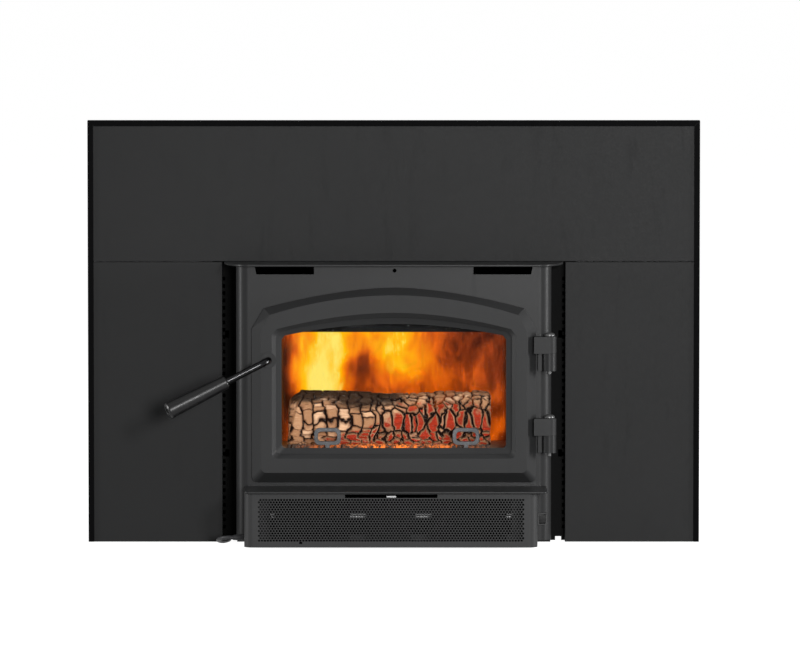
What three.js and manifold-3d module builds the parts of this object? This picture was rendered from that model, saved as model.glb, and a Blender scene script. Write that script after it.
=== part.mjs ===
// Wood-burning fireplace insert with a three-panel surround.
// Millimetres, +Z up, the door faces -Y. Inside this file Y = 0 is the fireplace's facing wall, which
// the surround's back touches, and Z = 0 is the hearth. The group is moved along Y at the end, so that
// the finished part is centred front to back.

import * as THREE from "three";
import { mergeVertices } from "three/addons/utils/BufferGeometryUtils.js";
import Module from "manifold-3d";

const wasm = await Module();
wasm.setup();

// ---------------------------------------------------------------- driving dimensions

const gap = 0.3; // between pieces that meet
const past = 1; // how far a cut runs past the face that it opens

const body = {
  halfWidth: 273.5,
  frontY: -98,
  sheet: 4,
  edgeRadius: 21,
  bottom: 10,
  top: 486.4,
  openingBottom: 140,
  ductBottom: 20,
  ductTop: 100.5,
};
const bodyOpening = {
  halfWidth: body.halfWidth - 42.5,
  top: body.top - 113.4,
  ductHalfWidth: body.halfWidth - 63.5,
};

const surround = {
  width: 1066.8,
  height: 736.6,
  depth: 20,
  sheet: 2,
  backLip: 12,
  openingHalfWidth: body.halfWidth + 25.5,
  openingTop: body.top + 4,
  seam: 1,
  trimFace: 10,
  trimSheet: 1.5,
};

const flange = {
  sheet: 2,
  innerHalfWidth: body.halfWidth - 11.5,
  outerHalfWidth: body.halfWidth + 44.5,
  bottom: 1,
  top: body.top + 29.6,
  slotPitch: 12.8,
  slotHeight: 6.5,
  slotInner: body.halfWidth + 21,
  slotOuter: body.halfWidth + 30.5,
  slotEnd: 20.2,
  leadInner: body.halfWidth + 9,
  leadOuter: body.halfWidth + 19.5,
  leadTop: 8.6,
  notchWidth: 7,
  notchHeight: 12.5,
  notchInner: body.halfWidth + 14.1,
  notchLevels: [154, 362.5],
};

const outlet = {
  inner: 138,
  outer: body.halfWidth - 32.5,
  bottom: body.top - 13.6,
  slant: 3,
  screwHoleRadius: 3.4,
  screwHoleX: 1.4,
  screwHoleZ: body.top - 6.9,
};

const topPlate = {
  halfWidth: body.halfWidth + 22,
  thickness: 4,
  overhang: 12,
  cornerWidth: 44,
  cornerDepth: 96,
};

const jacket = {
  sheet: 2,
  frontHalfWidth: flange.slotOuter + 4,
  rearHalfWidth: body.halfWidth - 31.5,
  taperLength: 190,
  backY: 380,
};

const base = {
  sheet: 2.3,
  frontHalfWidth: body.halfWidth - 1.5,
  housingGap: 2,
  skidWidth: 30,
  skidLength: 50,
  skidInsetY: 10,
  skidX: body.halfWidth - 73.5,
  boltX: body.halfWidth - 78.5,
  boltY: jacket.backY - 45,
  boltRadius: 5,
  boltHeadRadius: 9,
  boltHeadHeight: 6,
  boltHeight: 42,
};

const firebox = {
  plate: 6,
  innerHalfWidth: body.halfWidth - 41.5,
  floorTop: 132,
  roofBottom: body.top - 46.4,
  innerDepthY: jacket.backY - 50,
};

const airTube = {
  radius: 12.5,
  wall: 2,
  axisZ: firebox.roofBottom - 49,
  rows: { front: 40, middle: 150, rear: firebox.innerDepthY - 70 },
};

const brick = {
  thickness: 32,
  sideFrontY: -60,
  sideTop: airTube.axisZ - 16,
  floorFrontY: -88,
};

const baffle = {
  thickness: 25,
  frontY: 10,
};

const airWash = {
  depth: 29,
  height: 26,
  bottom: bodyOpening.top + 3,
  sheet: 2,
  lip: 10,
};

const flue = {
  boreRadius: 76.2,
  wall: 3,
  centreY: firebox.innerDepthY - 130,
  height: 79,
  footRadius: 96,
  footHeight: 3,
  lidClearance: 0.5,
};

const andiron = {
  leftX: -115.3,
  rightX: 125.7,
  planeY: -60,
  loopWidth: 46.5,
  loopHeight: 30,
  loopTop: 203,
  bar: 6.5,
  cornerRadius: 9,
  stemWidth: 8,
  footWidth: 26,
  footDepth: 34,
  footHeight: 3,
};

const log = {
  leftX: 86.5 - body.halfWidth,
  rightX: body.halfWidth - 103.5,
  radius: 48.5,
  centreY: 20,
  endRadius: 42,
  endLength: 12,
};

const housing = {
  leftX: 15.8 - body.halfWidth,
  rightX: body.halfWidth - 25.5,
  frontY: -201,
  sheet: 2,
  edgeRadius: 15,
  bottom: 8,
  slotLeft: -83.8,
  slotRight: 75.4,
  slotBottom: 93.7,
  slotTop: 99.7,
  notchX: -160,
  notchZ: 16.5,
  notchSize: 5,
};

const ledge = {
  leftX: housing.leftX - gap,
  rightX: body.halfWidth - 9,
  frontY: -208,
  thickness: 4,
  top: 105.1,
  cornerRadius: 9,
};

const blower = {
  centreX: -5,
  axisY: -148,
  axisZ: 56,
  shaftRadius: 4,
  motorRadius: 30,
  motorHalfLength: 35,
  bellRadius: 24,
  bellLength: 8,
  wheelRadius: 31,
  wheelBlade: 6.5,
  bladeDepth: 5.5,
  bladeThickness: 1.2,
  bladeCount: 12,
  rimWidth: 2.5,
  hubWidth: 4,
  scrollInner: 70,
  scrollOuter: body.halfWidth - 73.5,
  wheelInset: 5,
  shaftEnd: 7,
  scrollClearance: 3,
  scrollSheet: 2,
  nozzleHeight: 28,
  footHalfWidth: 16,
};

const lever = {
  centreX: -4,
  width: 16,
  thickness: 2.5,
  bottom: 95,
  tipY: -206,
  plateHalfLength: 70,
  plateFrontY: -62,
  plateBackY: 0,
  travel: 68,
};

const airBox = {
  wall: 2,
  inletHalfLength: 40,
  inletFrontY: -45,
  inletBackY: -15,
  lip: 7,
  endRoom: 6,
  leverRoom: 2,
};

const rocker = {
  centreX: body.halfWidth - 15.5,
  centreZ: 47.6,
  bezelWidth: 16,
  bezelHeight: 20,
  bezelFrontY: -100.5,
  bezelBackY: -84,
  bezelWall: 2,
  keyDepth: 5,
  keyBack: 4,
  keyTaper: 1.5,
  keyClearance: 1.7,
  raisedEnd: 2.4,
  loweredEnd: 0.6,
  pivotRadius: 1.2,
  pivotClearance: 0.4,
};

const door = {
  centreX: 0.3,
  faceY: -124,
  bevelFootY: -102,
  backY: -101,
  stepFrontY: -117,
  stepBackY: -111.5,
  lipFrontY: -108,
  lipThickness: 3,
  glassThickness: 4.4,
  glassOverlap: 6,
  gasketWidth: 8,
  gasketMargin: 5.4,
  gasketGroove: 5,
};

// Outlines of the door, each a flat-bottomed shape with cut-off top corners under a low arch.
const doorFoot = {
  half: body.halfWidth - 27.1,
  bottom: 111.8,
  crown: body.top - 36.1,
  shoulder: body.halfWidth - 47.9,
  shoulderZ: body.top - 71.9,
  sideTop: body.top - 107.4,
  archPower: 1.7,
  radius: 10,
};
const doorFace = {
  half: body.halfWidth - 43.5,
  bottom: 130.1,
  crown: body.top - 48.1,
  shoulder: body.halfWidth - 58.7,
  shoulderZ: body.top - 82.2,
  sideTop: body.top - 110.9,
  archPower: 2,
  radius: 9,
};
const windowFront = {
  half: body.halfWidth - 62.2,
  bottom: 154.8,
  crown: body.top - 78.1,
  shoulder: body.halfWidth - 70.5,
  shoulderZ: body.top - 106.9,
  sideTop: body.top - 117.4,
  archPower: 1.86,
  radius: 9,
};
const windowStep = {
  half: body.halfWidth - 69.2,
  bottom: 162,
  crown: body.top - 86.8,
  shoulder: body.halfWidth - 76.4,
  shoulderZ: body.top - 111.9,
  sideTop: body.top - 121.2,
  archPower: 1.92,
  radius: 8,
};
const windowLip = {
  half: body.halfWidth - 79.1,
  bottom: 172,
  crown: body.top - 98.9,
  shoulder: body.halfWidth - 84.5,
  shoulderZ: body.top - 118.9,
  sideTop: body.top - 126.4,
  archPower: 2,
  radius: 7,
};

const retainer = {
  width: 12,
  outer: windowLip.half + 14.6,
  thickness: 2.2,
  bottom: windowLip.bottom + 18,
  top: windowLip.sideTop - 10,
};

const hinge = {
  axisX: body.halfWidth - 4.3,
  axisY: -110,
  knuckleRadius: 12.5,
  pinRadius: 4,
  pinClearance: 0.5,
  headRadius: 10,
  headHeight: 7,
  headRim: 2.5,
  pinTail: 6,
  lugHeight: 29.3,
  knuckleHeight: 30,
  lugReach: 26.4,
  armReach: 19.2,
  armEnd: 3,
  armDepth: 14,
  levels: { upper: body.top - 150, lower: 194.1 },
};

const handle = {
  pivotX: 56.9 - body.halfWidth,
  pivotZ: body.top - 160.6,
  bossRadius: 13.7,
  bossHeight: 3,
  shaftRadius: 5,
  shaftBackY: -89,
  rodRadius: 6.2,
  elbowY: -139,
  elbowReach: 15,
  direction: new THREE.Vector3(-0.869, -0.258, -0.422).normalize(),
  gripStart: 82,
  gripLength: 117,
  gripStartRadius: 12,
  gripEndRadius: 14.8,
  gripChamfer: 3,
  rodInGrip: 55,
  endHoleRadius: 5.5,
  endHoleDepth: 12,
};

const cam = {
  thickness: 4,
  frontY: -96.5,
  hubRadius: 10.5,
  barWidth: 12,
  reach: 30,
};

const cord = {
  radius: 3.5,
  restZ: 3.6,
  sides: 10,
  steps: 34,
};

const relief = {
  exitY: -125,
  exitZ: 18,
  length: 20,
  baseRadius: 6.8,
  ridge: 4,
  step: 1.2,
  tipRadius: 4.6,
};

const coil = {
  centreX: -415,
  centreY: 100,
  innerRadius: 28.5,
  pitch: 7.7,
  turnsPerLayer: 3,
  stepsPerTurn: 24,
  sides: 6,
  climbTurns: 0.5,
  reversalTurns: 0.15,
  leadIn: 7,
  tail: 40,
};

const plug = {
  length: 34,
  width: 26,
  backWidth: 17.4,
  shoulder: 8,
  height: 21,
  neckLength: 8,
  neckRadius: 6,
  bladeLength: 16,
  bladeWidth: 6.3,
  bladeThickness: 1.6,
  bladeSpacing: 12.7,
  pinRadius: 2.4,
  pinLength: 18,
  pinDrop: 6,
  bladeLift: 2,
};

// ---------------------------------------------------------------- derived planes

const panelOuter = surround.width / 2 - surround.trimSheet - gap;
const panelTop = surround.height - surround.trimSheet - gap;
const flangeFrontY = gap;
const flangeBackY = flangeFrontY + flange.sheet;
const jacketFrontY = flangeBackY + gap;
const topPlateBottom = body.top + gap;
const topPlateFrontY = body.frontY - topPlate.overhang;
const jacketBendY = jacket.backY - jacket.taperLength;
const jacketTopLower = body.top - jacket.sheet;
const baseTop = body.bottom - gap;
const baseBottom = baseTop - base.sheet;
const fireboxOuter = firebox.innerHalfWidth + firebox.plate;
const fireboxFrontY = body.frontY + body.sheet + gap;
const fireboxBackY = firebox.innerDepthY + firebox.plate;
const fireboxFloorBottom = firebox.floorTop - firebox.plate;
const brickOuter = firebox.innerHalfWidth - gap;
const brickFloorBottom = firebox.floorTop + gap;
const hearthTop = brickFloorBottom + brick.thickness;
const brickBackFrontY = firebox.innerDepthY - gap - brick.thickness;
const baffleBottom = airTube.axisZ + airTube.radius + gap;
const ledgeBottom = ledge.top - ledge.thickness;
const housingTop = ledgeBottom - gap;
const bodyJoinY = body.frontY - gap;
const lipBackY = door.lipFrontY + door.lipThickness;

// ---------------------------------------------------------------- solids

// A three.js geometry, closed once its shared corners are merged, as a solid whose faces point out.
function solidOf(geometry) {
  const loose = geometry.index ? geometry.toNonIndexed() : geometry;
  const bare = new THREE.BufferGeometry();
  bare.setAttribute("position", loose.getAttribute("position"));
  const merged = mergeVertices(bare, 1e-4);
  const corners = merged.index.array;
  const kept = [];
  for (let i = 0; i < corners.length; i += 3) {
    const [a, b, c] = corners.slice(i, i + 3);
    if (a !== b && b !== c && c !== a) kept.push(a, b, c);
  }
  const vertProperties = merged.attributes.position.array;
  const make = (indices) => {
    const triVerts = new Uint32Array(indices);
    return new wasm.Manifold(new wasm.Mesh({ numProp: 3, vertProperties, triVerts }));
  };
  const solid = make(kept);
  return solid.volume() < 0 ? make(kept.reverse()) : solid;
}

function joined(...solids) {
  return solids.reduce((whole, next) => whole.add(next));
}

function cut(solid, ...cutters) {
  return cutters.reduce((left, cutter) => left.subtract(cutter), solid);
}

function box(x0, x1, y0, y1, z0, z1) {
  const geometry = new THREE.BoxGeometry(x1 - x0, y1 - y0, z1 - z0);
  geometry.translate((x0 + x1) / 2, (y0 + y1) / 2, (z0 + z1) / 2);
  return solidOf(geometry);
}

// An outline extruded along an axis. Outlines are [x, y] for "z", [x, z] for "y" and [y, z] for "x".
function prism(axis, outline, from, to, holes = []) {
  const shape = new THREE.Shape(outline.map(([u, v]) => new THREE.Vector2(u, v)));
  for (const hole of holes) {
    shape.holes.push(new THREE.Path(hole.map(([u, v]) => new THREE.Vector2(u, v))));
  }
  const geometry = new THREE.ExtrudeGeometry(shape, { depth: to - from, bevelEnabled: false });
  if (axis === "z") geometry.translate(0, 0, from);
  if (axis === "y") geometry.rotateX(Math.PI / 2).translate(0, to, 0);
  if (axis === "x") {
    geometry.applyMatrix4(new THREE.Matrix4().set(0, 0, 1, from, 1, 0, 0, 0, 0, 1, 0, 0, 0, 0, 0, 1));
  }
  return solidOf(geometry);
}

function circle(u, v, radius, sides = 24) {
  const points = [];
  for (let i = 0; i < sides; i += 1) {
    const angle = (2 * Math.PI * i) / sides;
    points.push([u + radius * Math.cos(angle), v + radius * Math.sin(angle)]);
  }
  return points;
}

function round(axis, u, v, radius, from, to, sides = 24) {
  return prism(axis, circle(u, v, radius, sides), from, to);
}

// A profile of [radius, height] points turned about an upright axis through (x, y).
function turned(profile, x, y, sides = 24) {
  const points = profile.map(([radius, height]) => new THREE.Vector2(radius, height));
  const geometry = new THREE.LatheGeometry(points, sides);
  geometry.rotateX(Math.PI / 2).translate(x, y, 0);
  return solidOf(geometry);
}

// A closed skin through rings of equally many points, with a flat cap on the first and last ring. The
// sides hold each edge of the first ring forwards, so the cap there has to hold it backwards.
function skin(rings, capPlane) {
  const count = rings[0].length;
  const positions = rings.flat().flatMap((point) => [point.x, point.y, point.z]);
  const indices = [];
  for (let ring = 0; ring < rings.length - 1; ring += 1) {
    for (let i = 0; i < count; i += 1) {
      const a = ring * count + i;
      const b = ring * count + ((i + 1) % count);
      indices.push(a, b, a + count, b, b + count, a + count);
    }
  }
  const flat = rings[0].map((point) => capPlane(point));
  const last = (rings.length - 1) * count;
  const forwards = THREE.ShapeUtils.area(flat) < 0;
  for (const [a, b, c] of THREE.ShapeUtils.triangulateShape(flat, [])) {
    const face = forwards ? [a, b, c] : [a, c, b];
    indices.push(...face);
    indices.push(...face.map((corner) => corner + last).reverse());
  }
  const geometry = new THREE.BufferGeometry();
  geometry.setAttribute("position", new THREE.Float32BufferAttribute(positions, 3));
  geometry.setIndex(indices);
  return solidOf(geometry);
}

// Corner points of a quarter turn, from one angle to another in degrees.
function arc(u, v, radius, fromDegrees, toDegrees, steps = 5) {
  const points = [];
  for (let i = 0; i <= steps; i += 1) {
    const angle = THREE.MathUtils.degToRad(fromDegrees + ((toDegrees - fromDegrees) * i) / steps);
    points.push([u + radius * Math.cos(angle), v + radius * Math.sin(angle)]);
  }
  return points;
}

function mirrored(outline) {
  return outline.map(([u, v]) => [-u, v]).reverse();
}

// ---------------------------------------------------------------- the assembly

const insert = new THREE.Group();
insert.name = "fireplace_insert";

const finishes = {
  surroundPaint: { color: 0x2b2c2d, roughness: 0.6, metalness: 0.2 },
  trimPaint: { color: 0x161718, roughness: 0.5, metalness: 0.2 },
  bodyPaint: { color: 0x343536, roughness: 0.62, metalness: 0.2 },
  doorPaint: { color: 0x3a3b3c, roughness: 0.55, metalness: 0.3 },
  darkSteel: { color: 0x1d1d1e, roughness: 0.7, metalness: 0.4 },
  galvanised: { color: 0x8c8f90, roughness: 0.5, metalness: 0.8 },
  firebrick: { color: 0xb7a27f, roughness: 0.95, metalness: 0 },
  fibreBoard: { color: 0xd9d2c2, roughness: 0.95, metalness: 0 },
  stainless: { color: 0xa5a5a2, roughness: 0.4, metalness: 0.9 },
  glass: { color: 0xdfe6e2, roughness: 0.05, metalness: 0, transparent: true, opacity: 0.25 },
  rope: { color: 0x8a8a84, roughness: 1, metalness: 0 },
  bark: { color: 0x8a6a4a, roughness: 0.95, metalness: 0 },
  polished: { color: 0x4a4b4c, roughness: 0.25, metalness: 0.9 },
  grip: { color: 0x0f0f10, roughness: 0.35, metalness: 0 },
  plastic: { color: 0x121213, roughness: 0.4, metalness: 0 },
  rubber: { color: 0x17171a, roughness: 0.6, metalness: 0 },
};

function piece(name, solid, finish) {
  const { vertProperties, triVerts } = solid.getMesh();
  const geometry = new THREE.BufferGeometry();
  geometry.setAttribute("position", new THREE.BufferAttribute(vertProperties, 3));
  geometry.setIndex(new THREE.BufferAttribute(triVerts, 1));
  geometry.computeVertexNormals();
  const mesh = new THREE.Mesh(geometry, new THREE.MeshStandardMaterial(finishes[finish]));
  mesh.name = name;
  insert.add(mesh);
  return mesh;
}

// ---------------------------------------------------------------- surround

// A folded sheet panel: a front sheet with four returns that run back to the wall and turn inwards.
function foldedPanel(x0, x1, z0, z1) {
  const { depth, sheet, backLip } = surround;
  const block = box(x0, x1, -depth, 0, z0, z1);
  const inside = box(x0 + sheet, x1 - sheet, sheet - depth, -sheet, z0 + sheet, z1 - sheet);
  const mouth = box(x0 + backLip, x1 - backLip, -depth / 2, past, z0 + backLip, z1 - backLip);
  return cut(block, inside, mouth);
}

// A length of angle trim: its face laps the panels and its leg runs back along their edge.
function trimBar(region, face, leg) {
  const frontY = -surround.depth - gap - surround.trimSheet;
  const cutToMitre = prism("y", region, frontY - past, past);
  return joined(face(frontY), leg(frontY)).intersect(cutToMitre);
}

function buildSurround() {
  const { openingHalfWidth, openingTop, seam, trimFace, trimSheet, height } = surround;
  const sideTop = openingTop - seam / 2;
  const half = surround.width / 2;
  piece(
    "surround_top_panel",
    foldedPanel(-panelOuter, panelOuter, openingTop + seam / 2, panelTop),
    "surroundPaint",
  );
  piece("surround_left_panel", foldedPanel(-panelOuter, -openingHalfWidth, 0, sideTop), "surroundPaint");
  piece("surround_right_panel", foldedPanel(openingHalfWidth, panelOuter, 0, sideTop), "surroundPaint");

  const reach = 3 * trimFace;
  const topRegion = [
    [-half - past, height + past],
    [-half + reach, height - reach],
    [half - reach, height - reach],
    [half + past, height + past],
  ];
  const leftRegion = [
    [-half - past, -past],
    [-half + reach, -past],
    [-half + reach, height - reach - 2 * gap],
    [-half - past, height + past - 2 * gap],
  ];
  const upright = (side) => [
    (frontY) => {
      const xs = side < 0 ? [-half, -half + trimFace] : [half - trimFace, half];
      return box(...xs, frontY, frontY + trimSheet, 0, height);
    },
    (frontY) => {
      const xs = side < 0 ? [-half, -half + trimSheet] : [half - trimSheet, half];
      return box(...xs, frontY, 0, 0, height);
    },
  ];
  piece("trim_left", trimBar(leftRegion, ...upright(-1)), "trimPaint");
  piece("trim_right", trimBar(mirrored(leftRegion), ...upright(1)), "trimPaint");
  const topFace = (frontY) => box(-half, half, frontY, frontY + trimSheet, height - trimFace, height);
  const topLeg = (frontY) => box(-half, half, frontY, 0, height - trimSheet, height);
  piece("trim_top", trimBar(topRegion, topFace, topLeg), "trimPaint");
}

// The flanges that carry the side panels. Each has a column of slots, two larger notches and a
// cut-out at its foot where the mains lead can pass.
function buildFlanges() {
  const slotCount = Math.floor(
    (body.top - flange.bottom - 2 * flange.slotEnd + flange.slotPitch) / flange.slotPitch,
  );
  for (const [name, side] of [
    ["flange_left", -1],
    ["flange_right", 1],
  ]) {
    const span = (near, far) => (side < 0 ? [-far, -near] : [near, far]);
    const plate = box(
      ...span(flange.innerHalfWidth, flange.outerHalfWidth),
      flangeFrontY,
      flangeBackY,
      flange.bottom,
      flange.top,
    );
    const cutters = [];
    for (let i = 0; i < slotCount; i += 1) {
      const z = flange.bottom + flange.slotEnd + i * flange.slotPitch;
      const xs = span(flange.slotInner, flange.slotOuter);
      cutters.push(box(...xs, flangeFrontY - past, flangeBackY + past, z, z + flange.slotHeight));
    }
    for (const level of flange.notchLevels) {
      const xs = span(flange.notchInner, flange.notchInner + flange.notchWidth);
      const z0 = level - flange.notchHeight / 2;
      const z1 = level + flange.notchHeight / 2;
      cutters.push(box(...xs, flangeFrontY - past, flangeBackY + past, z0, z1));
    }
    const leadX = span(flange.leadInner, flange.leadOuter);
    const leadZ = [flange.bottom - past, flange.leadTop];
    cutters.push(box(...leadX, flangeFrontY - past, flangeBackY + past, ...leadZ));
    piece(name, cut(plate, ...cutters), "darkSteel");
  }
}

// ---------------------------------------------------------------- body

// Plan outline of the wrapped front sheet: two side returns and a front with rounded edges.
function frontSheetOutline() {
  const { halfWidth, frontY, sheet, edgeRadius } = body;
  const cornerX = halfWidth - edgeRadius;
  const cornerY = frontY + edgeRadius;
  const innerRadius = edgeRadius - sheet;
  const outerRight = [...arc(cornerX, cornerY, edgeRadius, -90, 0), [halfWidth, 0]];
  const innerRight = [[halfWidth - sheet, 0], ...arc(cornerX, cornerY, innerRadius, 0, -90)];
  return [...outerRight, ...innerRight, ...mirrored(innerRight), ...mirrored(outerRight)];
}

function hingeKnuckle(top) {
  const bottom = top - hinge.knuckleHeight;
  const barrel = round("z", hinge.axisX, hinge.axisY, hinge.knuckleRadius, bottom, top);
  const armX = [hinge.axisX - hinge.armReach, hinge.axisX - hinge.armEnd];
  const armBackY = body.frontY + body.sheet / 2;
  const arm = box(...armX, armBackY - hinge.armDepth, armBackY, bottom, top);
  return joined(barrel, arm);
}

function hingeBore(from, to) {
  const radius = hinge.pinRadius + hinge.pinClearance;
  return round("z", hinge.axisX, hinge.axisY, radius, from, to, 16);
}

function buildBody() {
  const { frontY, bottom, top } = body;
  const { screwHoleX, screwHoleZ, screwHoleRadius } = outlet;
  const cutY = [frontY - 2 * past, frontY + body.sheet + past];
  const sheet = prism("z", frontSheetOutline(), bottom, top);
  const opening = box(
    -bodyOpening.halfWidth,
    bodyOpening.halfWidth,
    ...cutY,
    body.openingBottom,
    bodyOpening.top,
  );
  const duct = box(
    blower.centreX - bodyOpening.ductHalfWidth,
    blower.centreX + bodyOpening.ductHalfWidth,
    ...cutY,
    body.ductBottom,
    body.ductTop,
  );
  const outletOutline = [
    [outlet.inner, outlet.bottom],
    [outlet.outer - outlet.slant, outlet.bottom],
    [outlet.outer, top + past],
    [outlet.inner, top + past],
  ];
  const rightOutlet = prism("y", outletOutline, ...cutY);
  const leftOutlet = prism("y", mirrored(outletOutline), ...cutY);
  const screwHole = round("y", screwHoleX, screwHoleZ, screwHoleRadius, ...cutY, 12);
  const bezelHole = box(
    rocker.centreX - rocker.bezelWidth / 2 - gap,
    rocker.centreX + rocker.bezelWidth / 2 + gap,
    frontY - past,
    rocker.bezelBackY - past,
    rocker.centreZ - rocker.bezelHeight / 2 - gap,
    rocker.centreZ + rocker.bezelHeight / 2 + gap,
  );
  const knuckles = Object.values(hinge.levels).map(hingeKnuckle);
  const bores = Object.values(hinge.levels).map((level) =>
    hingeBore(level - hinge.knuckleHeight - past, level + past),
  );
  const pierced = cut(sheet, opening, duct, rightOutlet, leftOutlet, screwHole, bezelHole);
  piece("body_front", cut(joined(pierced, ...knuckles), ...bores), "bodyPaint");

  const corner = arc(0, 0, 1, -90, 0, 12).map(([across, back]) => [
    topPlate.halfWidth + (across - 1) * topPlate.cornerWidth,
    topPlateFrontY + (back + 1) * topPlate.cornerDepth,
  ]);
  const right = [...corner, [topPlate.halfWidth, -gap]];
  const plateTop = topPlateBottom + topPlate.thickness;
  const plate = prism("z", [...right, ...mirrored(right)], topPlateBottom, plateTop);
  piece("top_plate", plate, "bodyPaint");
}

// Plan outline of the jacket at its outer face.
function jacketRightHalf(inset) {
  return [
    [jacket.frontHalfWidth - inset, jacketFrontY],
    [jacket.frontHalfWidth - inset, jacketBendY],
    [jacket.rearHalfWidth - inset, jacket.backY - jacket.sheet - gap],
  ];
}

function buildBaseAndJacket() {
  const cornerRadius = housing.edgeRadius - housing.sheet - base.housingGap;
  const cornerY = housing.frontY + housing.edgeRadius;
  const rightCorner = housing.rightX - housing.edgeRadius;
  const leftCorner = housing.leftX + housing.edgeRadius;
  const flangeSlotX = flange.innerHalfWidth - gap;
  const flangeSlotY = flangeFrontY - gap;
  const right = [
    ...arc(rightCorner, cornerY, cornerRadius, 270, 360),
    [rightCorner + cornerRadius, fireboxFrontY],
    [base.frontHalfWidth, fireboxFrontY],
    [base.frontHalfWidth, flangeSlotY],
    [flangeSlotX, flangeSlotY],
    [flangeSlotX, jacketFrontY],
    [jacket.frontHalfWidth, jacketFrontY],
    [jacket.frontHalfWidth, jacketBendY],
    [jacket.rearHalfWidth, jacket.backY],
  ];
  const left = [
    [-jacket.rearHalfWidth, jacket.backY],
    [-jacket.frontHalfWidth, jacketBendY],
    [-jacket.frontHalfWidth, jacketFrontY],
    [-flangeSlotX, jacketFrontY],
    [-flangeSlotX, flangeSlotY],
    [-base.frontHalfWidth, flangeSlotY],
    [-base.frontHalfWidth, fireboxFrontY],
    [leftCorner - cornerRadius, fireboxFrontY],
    ...arc(leftCorner, cornerY, cornerRadius, 180, 270),
  ];
  const sheet = prism("z", [...right, ...left], baseBottom, baseTop);
  const skidY = fireboxFrontY + base.skidInsetY;
  const skids = [-1, 1].map((side) => {
    const x = side * base.skidX;
    const half = base.skidWidth / 2;
    return box(x - half, x + half, skidY, skidY + base.skidLength, 0, baseBottom + past);
  });
  const boltHoles = [-1, 1].map((side) =>
    round("z", side * base.boltX, base.boltY, base.boltRadius + gap, baseBottom - past, baseTop + past, 16),
  );
  piece("base_plate", cut(joined(sheet, ...skids), ...boltHoles), "darkSteel");

  for (const [name, side] of [
    ["levelling_bolt_left", -1],
    ["levelling_bolt_right", 1],
  ]) {
    const x = side * base.boltX;
    const head = round("z", x, base.boltY, base.boltHeadRadius, 0, base.boltHeadHeight, 6);
    const shank = round("z", x, base.boltY, base.boltRadius, past, base.boltHeight, 16);
    piece(name, joined(head, shank), "galvanised");
  }

  const outer = jacketRightHalf(0);
  const inner = jacketRightHalf(jacket.sheet);
  const sideOutline = [...outer, ...[...inner].reverse()];
  const sideTop = jacketTopLower - gap;
  const rightSide = prism("z", sideOutline, body.bottom, sideTop);
  const leftSide = prism("z", mirrored(sideOutline), body.bottom, sideTop);
  piece("jacket_left", leftSide, "galvanised");
  piece("jacket_right", rightSide, "galvanised");
  const backFrontY = jacket.backY - jacket.sheet;
  const rear = jacket.rearHalfWidth;
  piece("jacket_back", box(-rear, rear, backFrontY, jacket.backY, body.bottom, sideTop), "galvanised");
  const lid = [...outer, [rear, jacket.backY]];
  const lidSheet = prism("z", [...lid, ...mirrored(lid)], jacketTopLower, body.top);
  const collarHole = flue.boreRadius + flue.wall + flue.lidClearance;
  const lidHole = round("z", 0, flue.centreY, collarHole, jacketTopLower - past, body.top + past, 36);
  piece("jacket_top", cut(lidSheet, lidHole), "galvanised");
}

// ---------------------------------------------------------------- firebox

// The air inlet under the firebox floor: a channel whose lower plate the shutter slides beneath.
function airInlet() {
  const { wall, lip } = airBox;
  const halfLength = lever.plateHalfLength + lever.travel + airBox.endRoom;
  const x0 = lever.centreX - halfLength;
  const x1 = lever.centreX + halfLength;
  const frontY = lever.plateFrontY - gap - wall;
  const backY = lever.plateBackY + gap + wall;
  const shutterTop = lever.bottom + lever.thickness;
  const plateBottom = shutterTop + gap;
  const railBottom = lever.bottom - gap - wall;
  const cover = box(x0, x1, frontY, backY, plateBottom, plateBottom + wall);
  const frontWeb = box(x0, x1, frontY, frontY + wall, railBottom, fireboxFloorBottom + past);
  const backWeb = box(x0, x1, backY - wall, backY, railBottom, fireboxFloorBottom + past);
  const frontLip = box(x0, x1, frontY, frontY + lip, railBottom, railBottom + wall);
  const backLip = box(x0, x1, backY - lip, backY, railBottom, railBottom + wall);
  const inlet = box(
    lever.centreX - airBox.inletHalfLength,
    lever.centreX + airBox.inletHalfLength,
    airBox.inletFrontY,
    airBox.inletBackY,
    plateBottom - past,
    plateBottom + wall + past,
  );
  const leverHalf = lever.width / 2 + lever.travel + airBox.leverRoom;
  const leverPath = box(
    lever.centreX - leverHalf,
    lever.centreX + leverHalf,
    frontY - past,
    frontY + wall + past,
    lever.bottom - gap,
    plateBottom,
  );
  return cut(joined(cover, frontWeb, backWeb, frontLip, backLip), inlet, leverPath);
}

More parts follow.
